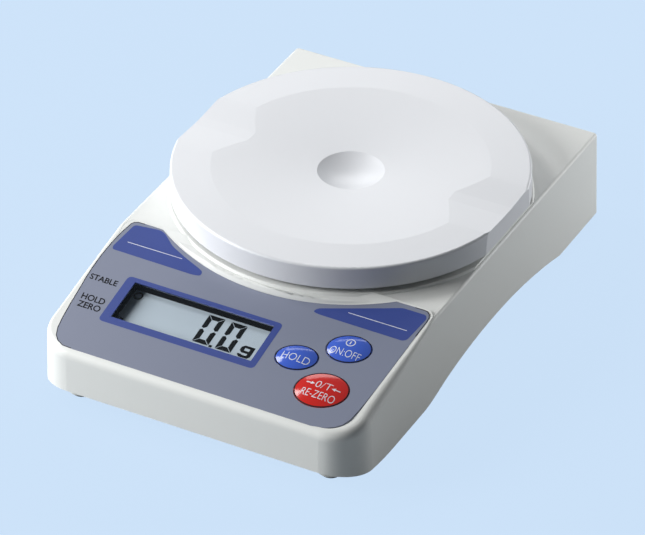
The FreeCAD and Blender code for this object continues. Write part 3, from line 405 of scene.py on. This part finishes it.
def nought(x0, x1, v0, v1):
    """Loops of the six segments that show a nought in a digit's box."""
    stroke = 1.9
    gap = 0.16
    middle = (v0 + v1) / 2
    loops = [
        [(x0 + gap, v), (x1 - gap, v), (x1 - stroke - gap, v + inwards * stroke),
         (x0 + stroke + gap, v + inwards * stroke)] for v, inwards in ((v1, -1), (v0, 1))]
    for edge, way in ((x0, 1), (x1, -1)):
        inner = edge + way * stroke
        point = edge + way * stroke / 2
        loops.append([
            (edge, v1 - gap), (inner, v1 - stroke - gap), (inner, middle + stroke / 2 + gap),
            (point, middle + gap), (edge, middle + stroke / 4 + gap)])
        loops.append([
            (edge, v0 + gap), (inner, v0 + stroke + gap), (inner, middle - stroke / 2 - gap),
            (point, middle - gap), (edge, middle - stroke / 4 - gap)])
    return loops


def ink(name, base, roughness=0.4, gloss=0.5):
    """Screen-printed ink: flat colour, a slightly uneven gloss from the mesh of the screen.

    The real mesh is about 0.1 mm. Its marks are drawn coarser, so that they show.
    """
    gloss_spread = 0.05
    mesh_size = 0.6 * mm
    darkest = 0.94
    material, tree = empty_material(name)
    place = add_node(tree, "ShaderNodeTexCoord")
    mesh_marks = add_node(tree, "ShaderNodeTexNoise", {
        "Vector": place.outputs["Object"], "Scale": 1 / mesh_size})
    tone = add_node(tree, "ShaderNodeMix", {
        0: mesh_marks.outputs["Fac"], 6: colour(base, darkest), 7: colour(base)}, data_type="RGBA")
    shine = add_node(tree, "ShaderNodeMapRange", {
        "Value": mesh_marks.outputs["Fac"],
        "To Min": roughness - gloss_spread, "To Max": roughness + gloss_spread})
    surface = add_node(tree, "ShaderNodeBsdfPrincipled", {
        "Base Color": tone.outputs[2], "Roughness": shine.outputs[0], "IOR": 1.5,
        "Specular IOR Level": gloss})
    add_node(tree, "ShaderNodeOutputMaterial", {"Surface": surface.outputs[0]})
    return material


def layered_rubber(name):
    """Dull rubber in conductive and insulating layers, which the eye sees as even stripes.

    The real layers are 0.2 mm apart. They are drawn nearly 4 mm apart, so that they show.
    """
    layer_pitch = 2 * math.pi * 0.6 * mm
    pitch_at_scale_1 = 2 * math.pi / 20
    material, tree = empty_material(name)
    place = add_node(tree, "ShaderNodeTexCoord")
    layers = add_node(tree, "ShaderNodeTexWave", {
        "Vector": place.outputs["Object"], "Scale": pitch_at_scale_1 / layer_pitch,
        "Distortion": 0.0}, bands_direction="X")
    tone = add_node(tree, "ShaderNodeMix", {
        0: layers.outputs["Fac"], 6: colour("#2b2022"), 7: colour("#b98d90")}, data_type="RGBA")
    surface = add_node(tree, "ShaderNodeBsdfPrincipled", {
        "Base Color": tone.outputs[2], "Roughness": 0.6, "IOR": 1.42})
    add_node(tree, "ShaderNodeOutputMaterial", {"Surface": surface.outputs[0]})
    return material


# The polariser is a pale satin sheet. The holder's paint takes nearly all light, so that the
# walls round the cell stay black, and the segments lie under glass, without a gloss of their own.
dress("lcd_glass", moulded("polariser_on_glass", "#c4cfda", 0.35, 0.5, 0.03, shade=0.03))
dress("lcd_holder", ink("matt_black_paint", "#050506", 0.85, gloss=0.1))
dress("contact_strips", layered_rubber("layered_conductive_rubber"))
segment_black = ink("liquid_crystal_segment", "#0a0b0c", 0.7, gloss=0.1)

# On show: two noughts with a point between them, a dash, a ring and the unit's letter.
signs = {
    "digits": (
        nought(-13.5, -7.1, -37.3, -24.0) + nought(-4.4, 1.8, -37.4, -24.1)
        + [rectangle(-6.8, -5.6, -37.7, -36.7), rectangle(-43.4, -41.0, -37.8, -36.9)]),
    "ring": [oval_loop(-41.4, -25.6, 1.8, 1.8), oval_loop(-41.4, -25.6, 1.15, 1.15)],
    "unit": [
        [(9.2, -32.2), (9.2, -36.7), (8.4, -37.7), (5.2, -37.7), (4.2, -36.9), (4.2, -36.3),
         (5.5, -36.3), (5.7, -36.6), (7.4, -36.6), (7.7, -36.2), (7.7, -35.6), (5.3, -35.6),
         (4.2, -34.8), (4.2, -33.2), (5.3, -32.2)],
        [(5.7, -33.3), (5.7, -34.5), (7.7, -34.5), (7.7, -33.3)]],
}
piece("lcd_segments", [flat_shapes(sign, loops, segment_depth) for sign, loops in signs.items()],
      on_panel(glass_top + segment_depth / 2), segment_black, "case")


# Window: a clear polyester film over the display, part of the panel's laminate. It is thin and
# flat, so that all it gives the eye is a faint gloss, stronger at a low angle.
def clear_film(name):
    """Clear film with a soft gloss on its outer faces, too thin to bend what is behind it."""
    face_on_gloss = 0.02
    edge_on_gloss = 0.8
    material, tree = empty_material(name)
    gloss = add_node(tree, "ShaderNodeBsdfGlossy", {"Color": (1, 1, 1, 1), "Roughness": 0.06})
    through = add_node(tree, "ShaderNodeBsdfTransparent", {"Color": (0.98, 0.99, 0.99, 1)})
    tilt = add_node(tree, "ShaderNodeLayerWeight", {"Blend": 0.5})
    steep = add_node(tree, "ShaderNodeMath", {0: tilt.outputs["Facing"], 1: 5.0}, operation="POWER")
    share = add_node(tree, "ShaderNodeMapRange", {
        "Value": steep.outputs[0], "To Min": face_on_gloss, "To Max": edge_on_gloss})
    side = add_node(tree, "ShaderNodeNewGeometry")
    outside = add_node(tree, "ShaderNodeMath", {
        0: 1.0, 1: side.outputs["Backfacing"]}, operation="SUBTRACT")
    once = add_node(tree, "ShaderNodeMath", {
        0: share.outputs[0], 1: outside.outputs[0]}, operation="MULTIPLY")
    mix = add_node(tree, "ShaderNodeMixShader", {
        0: once.outputs[0], 1: through.outputs[0], 2: gloss.outputs[0]})
    add_node(tree, "ShaderNodeOutputMaterial", {"Surface": mix.outputs[0]})
    return material


dress("display_window", clear_film("clear_polyester_film"))

# Panel film: grey polyester, stuck into the panel's recess. It is printed with a blue frame round
# the display, two plain blue plates, white rules and the dark words beside the display.
film_top = 0.05
film_under = -0.79
window_x, window_v = -15.5, -32.1
window_half_width = 28.0
window_half_height = 8.9
key_clearance = 0.05
key_tilt = math.radians(13.0)
keys = {  # centre, half length and half width of each key
    "hold_key": (26.5, -33.5, 7.9, 5.9),
    "on_off_key": (41.6, -23.2, 8.3, 6.5),
    "zero_key": (41.6, -43.8, 9.9, 8.0),
}


def rounded(points, radius):
    """Closed loop with each corner replaced by a short arc of about that radius."""
    side_per_cut = 2.2  # so that the arcs at a side's two ends never meet
    corner_steps = 6
    loop = []
    count = len(points)
    for k in range(count):
        here = Vector(points[k])
        before = Vector(points[k - 1]) - here
        after = Vector(points[(k + 1) % count]) - here
        cut = min(radius, before.length / side_per_cut, after.length / side_per_cut)
        start = here + before.normalized() * cut
        end = here + after.normalized() * cut
        for step in range(corner_steps + 1):
            t = step / corner_steps
            loop.append(tuple(start * (1 - t) ** 2 + here * 2 * t * (1 - t) + end * t ** 2))
    return loop


def window_loop(lap):
    """Loop of the display's opening, smaller by lap all round."""
    across = window_half_width - lap
    up = window_half_height - lap
    return rectangle(window_x - across, window_x + across, window_v - up, window_v + up)


def strip(path, width):
    """Closed loop along the inner side of a path that runs leftwards round the film."""
    inner = []
    for k, here in enumerate(path):
        along = Vector(path[min(k + 1, len(path) - 1)]) - Vector(path[max(k - 1, 0)])
        inner.append(tuple(Vector(here) + Vector((-along.y, along.x)).normalized() * width))
    return path + inner[::-1]


def satin_film(name, base):
    """Satin polyester film: fine even tooth in the surface, printed colour under it."""
    drift_size = 30 * mm
    darkest = 0.97
    tooth_size = 0.35 * mm
    tooth_depth = 0.02 * mm
    material, tree = empty_material(name)
    place = add_node(tree, "ShaderNodeTexCoord")
    drift = add_node(tree, "ShaderNodeTexNoise", {
        "Vector": place.outputs["Object"], "Scale": 1 / drift_size})
    tone = add_node(tree, "ShaderNodeMix", {
        0: drift.outputs["Fac"], 6: colour(base, darkest), 7: colour(base)}, data_type="RGBA")
    tooth = add_node(tree, "ShaderNodeTexNoise", {
        "Vector": place.outputs["Object"], "Scale": 1 / tooth_size, "Detail": 2.0})
    relief = add_node(tree, "ShaderNodeBump", {
        "Height": tooth.outputs["Fac"], "Strength": 0.08, "Distance": tooth_depth})
    surface = add_node(tree, "ShaderNodeBsdfPrincipled", {
        "Base Color": tone.outputs[2], "Roughness": 0.42, "IOR": 1.6,
        "Normal": relief.outputs[0]})
    add_node(tree, "ShaderNodeOutputMaterial", {"Surface": surface.outputs[0]})
    return material


# The film's outline bulges at its sides. Its rear edge follows the foot of the case's apron.
film_right = [
    (45.5, -59.6), (50.7, -58.6), (53.6, -57.0), (55.6, -55.0), (56.8, -52.3), (57.9, -45.7),
    (58.9, -34.4), (59.6, -21.5), (60.4, -9.2), (61.0, -2.0), (60.9, 0.4), (60.2, 2.0),
    (59.0, 3.0), (57.4, 3.2), (54.0, 3.2)]
film_left = [
    (-54.0, 3.2), (-56.8, 3.2), (-58.2, 2.6), (-59.0, 1.6), (-60.2, -3.5), (-61.0, -9.5),
    (-61.4, -16.0), (-61.4, -22.0), (-61.1, -28.0), (-60.5, -34.5), (-60.0, -41.0),
    (-59.3, -47.5), (-58.5, -52.5), (-57.2, -55.9), (-55.3, -58.0), (-52.6, -59.4), (-49.0, -59.6)]
apron_centre_y = 41.2
apron_foot_r = 88.0
arc_half_width = 46.6
arc_steps = 40
film_arc = []
for k in range(arc_steps + 1):
    x = arc_half_width * (1 - 2 * k / arc_steps)
    y = apron_centre_y - math.sqrt(apron_foot_r ** 2 - x ** 2)
    film_arc.append((x, (y - panel_rear_y) / math.cos(panel_slope)))
film_loops = [film_right + film_arc + film_left, window_loop(0)]
for key_x, key_v, a, b in keys.values():
    film_loops.append(oval_loop(key_x, key_v, a + key_clearance, b + key_clearance, key_tilt))
film = piece("panel_film", [flat_shapes("film", film_loops, film_top - film_under)],
             on_panel((film_top + film_under) / 2),
             satin_film("grey_polyester_film", "#7d8397"), "case")
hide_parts("panel_overlay")

# The blue and white inks have a slight sheen, and the dark one is dull. The frame's print also
# lines the film's cut edge round the display, so that it is deeper than the other prints.
blue_ink = ink("blue_screen_ink", "#30448e", 0.42)
# The dark ink also paints shade: the lines along the film's edge, and in part the lines round the
# keys.
dark_ink_and_shadow = ink("dark_screen_ink_and_painted_shade", "#08080b", 0.7, gloss=0.2)
white_ink = ink("white_screen_ink", "#e4e8f0", 0.45)
ink_depth = 0.03
print_lift = film_top + ink_depth / 2
frame_depth = 0.37
frame_lap = 0.05
frame_loops = [rounded(rectangle(-47.0, 15.0, -44.0, -21.3), 2.0), window_loop(frame_lap)]
piece("printed_frame", [flat_shapes("frame", frame_loops, frame_depth)],
      on_panel(film_top + ink_depth - frame_depth / 2), blue_ink, "case")
left_plate = rounded([
    (-57.4, 1.4), (-47.4, 2.5), (-45.0, 1.6), (-39.5, -2.8), (-32.9, -5.9), (-25.6, -8.8),
    (-23.6, -9.8), (-23.4, -11.8), (-26.1, -12.4), (-59.0, -12.0), (-59.6, -10.6)], 1.3)
right_plate = rounded([
    (21.6, -12.0), (22.6, -10.1), (33.6, -5.7), (44.8, -1.1), (50.1, 1.2), (59.2, 1.2),
    (60.2, -0.4), (58.3, -11.6), (57.0, -12.7), (24.0, -12.5)], 1.2)
piece("printed_plates", [flat_shapes("plates", [left_plate, right_plate], ink_depth)],
      on_panel(print_lift), blue_ink, "case")
rule_depth = 0.02
rule_lift = 0.045
rules = [rectangle(-55.6, -33.4, -7.1, -6.85), rectangle(33.5, 56.3, -8.05, -7.8)]
piece("printed_rules", [flat_shapes("rules", rules, rule_depth)],
      on_panel(film_top + rule_lift), white_ink, "case")


def words(text, x0, v0, width, height, thickness, lean=0.0, weight=0.0):
    """Thin letters in the XY plane that fill a box from x0, v0 up and to the right."""
    curve = bpy.data.curves.new("words", "FONT")
    curve.body = text
    curve.shear = lean
    curve.offset = weight
    curve.extrude = thickness / 2 * mm
    mesh = made_mesh("words", bpy.data.objects.new("words", curve))
    xs = [v.co.x for v in mesh.vertices]
    ys = [v.co.y for v in mesh.vertices]
    wide = width * mm / (max(xs) - min(xs))
    tall = height * mm / (max(ys) - min(ys))
    for vertex in mesh.vertices:
        vertex.co.x = x0 * mm + (vertex.co.x - min(xs)) * wide
        vertex.co.y = v0 * mm + (vertex.co.y - min(ys)) * tall
    return mesh


label_style = {"lean": -0.15, "weight": 0.018}
labels = [
    words("STABLE", -60.0, -27.7, 11.3, 2.6, ink_depth, **label_style),
    words("HOLD", -58.2, -37.2, 9.5, 2.8, ink_depth, **label_style),
    words("ZERO", -57.7, -40.9, 9.2, 2.8, ink_depth, **label_style),
]
piece("printed_words", labels, on_panel(print_lift), dark_ink_and_shadow, "case")

# The rear ends of the recess are filled level with the case's lip where the film is narrower,
# and a thin dark line of painted shadow, standing for the shaded gap at the recess wall, follows
# the film's edge there and along its left side.
lip_depth = 0.7
lip_middle = -0.36
lip_left = [
    (-61.0, 0.0), (-60.93, 0.9), (-60.59, 1.72), (-60.04, 2.41), (-59.3, 2.91), (-58.45, 3.17),
    (-58.0, 3.2), (-56.0, 3.2), (-56.0, -14.0), (-60.1, -14.0)]
lip_right = [(-x, v) for x, v in reversed(lip_left)]
lip = [flat_shapes("lip", [side], lip_depth) for side in (lip_left, lip_right)]
piece("panel_lip", lip, on_panel(lip_middle), case_abs, "case")
# Painted shadow: these dark strips stand for the shade in the recess beside the film's edge.
shadow_line_width = 0.28
shadow_line_start = 8  # the point of film_right from which the line shows
shadow_lines = [strip(film_right[shadow_line_start:], shadow_line_width), strip(film_left, shadow_line_width)]
piece("film_edge_painted_shadow", [flat_shapes("edge_line", [one], ink_depth) for one in shadow_lines],
      on_panel(print_lift), dark_ink_and_shadow, "case")


# Keys: glossy domed caps of coloured ABS, each in its own opening of the film. White lettering
# is pad-printed on the dome, and a thin black line round its rim is partly a printed outline and
# partly painted shade of the gap between cap and film. The cap's flange sits under the film. The
# polished moulds give the caps a clear, sharp reflection.
def diced(mesh, size):
    """Cut a flat mesh along a square grid, so that its faces can follow a curve."""
    work = bmesh.new()
    work.from_mesh(mesh)
    for axis in (Vector((1, 0, 0)), Vector((0, 1, 0))):
        reach = [v.co.dot(axis) for v in work.verts]
        for k in range(math.ceil(min(reach) / size), math.floor(max(reach) / size) + 1):
            parts = work.verts[:] + work.edges[:] + work.faces[:]
            bmesh.ops.bisect_plane(work, geom=parts, plane_co=axis * k * size, plane_no=axis)
    work.to_mesh(mesh)
    work.free()
    return mesh


def on_dome(name, meshes, key_node, body, print_and_shade_ink):
    """Marks laid on a key's dome, print and painted shade alike: each point is dropped straight
    onto the cap's surface.
    """
    grid = 0.7 * mm
    drop = 8 * mm
    proud = 0.03
    sunk = 0.02
    meshes = [diced(mesh, grid) for mesh in meshes]
    thing = piece(name, meshes, panel_turn, print_and_shade_ink, body)
    cap = nodes[key_node].data
    tree = BVHTree.FromPolygons(
        [v.co for v in cap.vertices], [tuple(p.vertices) for p in cap.polygons])
    normal = panel_turn.to_3x3() @ Vector((0, 0, 1))
    flat = panel_turn.inverted()
    for vertex in thing.data.vertices:
        high = (flat @ vertex.co).z > 0
        hit = tree.ray_cast(vertex.co + normal * drop, -normal)[0]
        vertex.co = hit + normal * (proud if high else -sunk) * mm
    return thing


blue_key = moulded("glossy_blue_abs", "#3e61ce", 0.12, 0.8, 0.02)
red_key = moulded("glossy_red_abs", "#d01a04", 0.12, 0.8, 0.02)
dress("hold_key", blue_key)
dress("on_off_key", blue_key)
dress("zero_key", red_key)

sheet_depth = 0.05
rim_outer = 0.1
rim_inner = 0.55
# Partly painted shade: the black line round each dome is a thin printed outline together with the
# shaded gap between cap and film.
for name, (key_x, key_v, a, b) in keys.items():
    rim = [oval_loop(key_x, key_v, a - inset, b - inset, key_tilt)
           for inset in (rim_outer, rim_inner)]
    on_dome(name.replace("_key", "_rim_print_and_shade"), [flat_shapes("rim", rim, sheet_depth)], name,
            name.replace("_key", "_button"), dark_ink_and_shadow)

letter_weight = -0.012
on_dome("hold_key_word", [
    words("HOLD", 21.4, -35.9, 10.6, 3.1, sheet_depth, weight=letter_weight),
], "hold_key", "hold_button", white_ink)

power_mark = [oval_loop(41.3, -21.0, 1.75, 1.75), oval_loop(41.3, -21.0, 1.4, 1.4)]
power_bar = [rectangle(41.1, 41.5, -21.8, -20.2)]
on_dome("on_off_key_words", [
    words("ON:OFF", 35.6, -27.3, 11.6, 3.0, sheet_depth, weight=letter_weight),
    flat_shapes("power_mark", power_mark, sheet_depth),
    flat_shapes("power_bar", power_bar, sheet_depth),
], "on_off_key", "on_off_button", white_ink)

arrow_right = [
    (35.2, -42.25), (37.2, -42.25), (37.0, -41.75), (38.5, -42.45), (37.0, -43.15),
    (37.2, -42.65), (35.2, -42.65)]
arrow_middle = 41.775
arrow_drop = 0.1
arrow_left = [(2 * arrow_middle - x, v - arrow_drop) for x, v in reversed(arrow_right)]
on_dome("zero_key_words", [
    words("RE-ZERO", 35.4, -48.3, 12.7, 3.1, sheet_depth, weight=letter_weight),
    words("0/T", 38.9, -43.8, 6.1, 3.0, sheet_depth, weight=letter_weight),
    flat_shapes("arrow_right", [arrow_right], sheet_depth),
    flat_shapes("arrow_left", [arrow_left], sheet_depth),
], "zero_key", "zero_button", white_ink)

# Load cell: a milled aluminium beam with foil gauges, clamped between steel shims. A zinc-plated
# bracket on its free end carries the pan's support. The screws are zinc-plated steel too. The
# cutter leaves fine streaks on the beam, and the gauges are amber film with a thin clear coat.
beam_aluminium = metal("milled_aluminium", "#cdcfd2", 0.32, 0.35, 6.0, 0.15)
dress("load_cell", beam_aluminium)
dress("strain_gauges", moulded("polyimide_gauge_film", "#b5742a", 0.35, 0.5, 0.1, coat=0.3))
for name in ("load_cell_shim", "bracket_shim", "load_bracket", "load_cell_screws",
             "bracket_screws", "hub_screws", "case_screws", "overload_stop"):
    dress(name, zinc_steel)

# Pan support: a white moulded cross whose hub stands up through the deck, in the pan's own ABS.
# Grey rubber washers on its pins, dull and soft to the eye, carry the pan.
pan_abs = moulded("moulded_abs_cool_white", "#e6e8ec", 0.36, 1.2, 0.05)
dress("pan_support", pan_abs)
dress("pan_pads", moulded("grey_silicone_rubber", "#8d8f91", 0.65, 0.5, 0.15))

# Weighing pan: one smooth ABS moulding that lies loose on the pads and lifts off. It is a cooler
# white than the case and a little glossier, as a polished mould leaves it.
dress("weighing_pan", pan_abs)


# Batteries: four AA cells in black jackets with bare steel ends, nickel-plated contacts and
# springs. Each spring is a cone of wire wound in three turns and pressed nearly flat by its cell.
def cell_jacket(name):
    """Glossy printed jacket with a copper band, and bare steel ends, by place along the cell."""
    reach = 50.3 * mm
    steel, black, copper = "#b8b9ba", "#1b1c20", "#a8743a"
    stops = (0.0, steel), (0.035, black), (0.72, copper), (0.80, black), (0.965, steel)
    material, tree = empty_material(name)
    place = add_node(tree, "ShaderNodeTexCoord")
    split = add_node(tree, "ShaderNodeSeparateXYZ", {0: place.outputs["Object"]})
    along = add_node(tree, "ShaderNodeMath", {0: split.outputs["X"]}, operation="ABSOLUTE")
    share = add_node(tree, "ShaderNodeMath", {
        0: along.outputs[0], 1: 1 / reach}, operation="MULTIPLY")
    bands = add_node(tree, "ShaderNodeValToRGB", {"Fac": share.outputs[0]})
    ramp = bands.color_ramp
    ramp.interpolation = "CONSTANT"
    for k, (position, code) in enumerate(stops):
        stop = ramp.elements[k] if k < 2 else ramp.elements.new(position)
        stop.position = position
        stop.color = colour(code)
    scuffs = add_node(tree, "ShaderNodeTexNoise", {
        "Vector": place.outputs["Object"], "Scale": 1 / (2 * mm), "Detail": 4.0})
    shine = add_node(tree, "ShaderNodeMapRange", {
        "Value": scuffs.outputs["Fac"], "To Min": 0.18, "To Max": 0.34})
    surface = add_node(tree, "ShaderNodeBsdfPrincipled", {
        "Base Color": bands.outputs["Color"], "Metallic": 0.6, "Roughness": shine.outputs[0]})
    add_node(tree, "ShaderNodeOutputMaterial", {"Surface": surface.outputs[0]})
    return material


def open_tree(name, inputs):
    """Empty Geometry Nodes tree with named inputs, and the identifier of each input's socket."""
    tree = bpy.data.node_groups.new(name, "GeometryNodeTree")
    tree.interface.new_socket("Geometry", in_out="OUTPUT", socket_type="NodeSocketGeometry")
    identifiers = {}
    for label, value in inputs.items():
        kind = "NodeSocketInt" if isinstance(value, int) else "NodeSocketFloat"
        socket = tree.interface.new_socket(label, in_out="INPUT", socket_type=kind)
        socket.default_value = value
        identifiers[label] = socket.identifier
    return tree, identifiers


def spring_tree(material):
    """Node tree that winds the two contact springs, one at each end of the box."""
    tree, sizes = open_tree("wound_springs", {
        "Turns": 3.0, "Wide radius": 3.3 * mm, "Narrow radius": 1.9 * mm, "Length": 1.3 * mm,
        "Wire radius": 0.22 * mm, "End distance": 51.75 * mm, "Front row": 71.35 * mm,
        "Rear row": 85.95 * mm, "Middle height": 11.45 * mm})
    given = add_node(tree, "NodeGroupInput")
    coil = add_node(tree, "GeometryNodeCurveSpiral", {
        "Resolution": 24, "Rotations": given.outputs["Turns"],
        "Start Radius": given.outputs["Wide radius"],
        "End Radius": given.outputs["Narrow radius"], "Height": given.outputs["Length"]})
    section = add_node(tree, "GeometryNodeCurvePrimitiveCircle", {
        "Resolution": 10, "Radius": given.outputs["Wire radius"]})
    wire = add_node(tree, "GeometryNodeCurveToMesh", {
        "Curve": coil.outputs[0], "Profile Curve": section.outputs[0], "Fill Caps": True})
    both = add_node(tree, "GeometryNodeJoinGeometry")
    for way, row in ((-1.0, "Front row"), (1.0, "Rear row")):
        distance = add_node(tree, "ShaderNodeMath", {
            0: given.outputs["End distance"], 1: way}, operation="MULTIPLY")
        at = add_node(tree, "ShaderNodeCombineXYZ", {
            0: distance.outputs[0], 1: given.outputs[row], 2: given.outputs["Middle height"]})
        turned = add_node(tree, "GeometryNodeTransform", {
            "Geometry": wire.outputs[0], "Translation": at.outputs[0],
            "Rotation": (0.0, -way * math.pi / 2, 0.0)})
        tree.links.new(turned.outputs[0], both.inputs[0])
    real = add_node(tree, "GeometryNodeRealizeInstances", {0: both.outputs[0]})
    coated = add_node(tree, "GeometryNodeSetMaterial", {
        "Geometry": real.outputs[0], "Material": material})
    add_node(tree, "NodeGroupOutput", {0: coated.outputs[0]})
    return tree, sizes


def grown(name, tree, inputs, body):
    """Finished piece from a node tree, with its inputs set by their sockets' identifiers."""
    holder = bpy.data.objects.new(name, bpy.data.meshes.new(name))
    modifier = holder.modifiers.new("grow", "NODES")
    modifier.node_group = tree
    for identifier, value in inputs.items():
        modifier[identifier] = value
    mesh = made_mesh(name, holder)
    thing = bpy.data.objects.new(name, mesh)
    bpy.context.collection.objects.link(thing)
    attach(thing, body)
    return thing


# Nickel-plated spring steel is warmer than zinc and bright, with a narrow highlight on each wire.
nickel_spring = metal("nickel_plated_spring_steel", "#d0ccc0", 0.2, 0.4, 2.0, 0.05)
dress("battery_cells", cell_jacket("printed_cell_jacket"))
dress("battery_contacts", nickel_spring)
dress("battery_springs", nickel_spring)
wound, wound_sizes = spring_tree(nickel_spring)
springs = grown("contact_springs", wound, {
    wound_sizes["Turns"]: 3.0, wound_sizes["Wire radius"]: 0.22 * mm}, "case")
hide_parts("battery_springs")


# Battery door: a flat moulding of the base's ABS that closes the box from below. Beside its latch
# it has a row of low ridges for the thumb, moulded with it.
def ridge_tree(material):
    """Node tree that sets a row of ridges, each a bar with a round section."""
    tree, sizes = open_tree("thumb_ridges", {
        "Count": 3, "Pitch": 1.4 * mm, "Half length": 4.0 * mm, "Radius": 0.35 * mm,
        "First": 68.2 * mm, "Height": 2.8 * mm})
    given = add_node(tree, "NodeGroupInput")
    start = add_node(tree, "ShaderNodeCombineXYZ", {
        1: given.outputs["First"], 2: given.outputs["Height"]})
    step = add_node(tree, "ShaderNodeCombineXYZ", {1: given.outputs["Pitch"]})
    row = add_node(tree, "GeometryNodeMeshLine", {
        "Count": given.outputs["Count"], "Start Location": start.outputs[0],
        "Offset": step.outputs[0]})
    minus = add_node(tree, "ShaderNodeMath", {
        0: given.outputs["Half length"], 1: -1.0}, operation="MULTIPLY")
    left = add_node(tree, "ShaderNodeCombineXYZ", {0: minus.outputs[0]})
    right = add_node(tree, "ShaderNodeCombineXYZ", {0: given.outputs["Half length"]})
    axis = add_node(tree, "GeometryNodeCurvePrimitiveLine", {
        "Start": left.outputs[0], "End": right.outputs[0]})
    section = add_node(tree, "GeometryNodeCurvePrimitiveCircle", {
        "Resolution": 14, "Radius": given.outputs["Radius"]})
    bar = add_node(tree, "GeometryNodeCurveToMesh", {
        "Curve": axis.outputs[0], "Profile Curve": section.outputs[0], "Fill Caps": True})
    placed = add_node(tree, "GeometryNodeInstanceOnPoints", {
        "Points": row.outputs[0], "Instance": bar.outputs[0]})
    real = add_node(tree, "GeometryNodeRealizeInstances", {0: placed.outputs[0]})
    coated = add_node(tree, "GeometryNodeSetMaterial", {
        "Geometry": real.outputs[0], "Material": material})
    add_node(tree, "NodeGroupOutput", {0: coated.outputs[0]})
    return tree, sizes


dress("battery_door", base_abs)
ridges, ridge_sizes = ridge_tree(base_abs)
grown("battery_door_ridges", ridges, {
    ridge_sizes["Count"]: 3, ridge_sizes["Pitch"]: 1.4 * mm}, "battery_lid")


# Power jack: a black nylon body in a cradle behind the hole in the rear wall, with a
# nickel-plated sleeve and pin in its bore.
def jack_finish(name):
    """Dull black nylon, with bright nickel plate within the bore's radius of the jack's axis."""
    axis_x = 38.0 * mm
    axis_z = 27.0 * mm
    bore = 2.95 * mm
    material, tree = empty_material(name)
    place = add_node(tree, "ShaderNodeTexCoord")
    centred = add_node(tree, "ShaderNodeMapping", {
        "Vector": place.outputs["Object"], "Location": (-axis_x, 0.0, -axis_z),
        "Scale": (1.0, 0.0, 1.0)})
    radius = add_node(tree, "ShaderNodeVectorMath", {0: centred.outputs[0]}, operation="LENGTH")
    plated = add_node(tree, "ShaderNodeMath", {
        0: radius.outputs["Value"], 1: bore}, operation="LESS_THAN")
    wear = add_node(tree, "ShaderNodeTexNoise", {
        "Vector": place.outputs["Object"], "Scale": 1 / (0.5 * mm)})
    shine = add_node(tree, "ShaderNodeMapRange", {
        "Value": wear.outputs["Fac"], "To Min": 0.3, "To Max": 0.5})
    tone = add_node(tree, "ShaderNodeMix", {
        0: plated.outputs[0], 6: colour("#1b1b1d"), 7: colour("#cfcbc0")}, data_type="RGBA")
    surface = add_node(tree, "ShaderNodeBsdfPrincipled", {
        "Base Color": tone.outputs[2], "Metallic": plated.outputs[0],
        "Roughness": shine.outputs[0]})
    add_node(tree, "ShaderNodeOutputMaterial", {"Surface": surface.outputs[0]})
    return material


dress("dc_jack", jack_finish("nylon_with_nickel_contacts"))

# Feet: four soft black rubber plugs pressed into seats in the base. They are dull, with a
# coarse matt skin.
dress("rubber_feet", moulded("black_rubber", "#121212", 0.75, 0.5, 0.25))
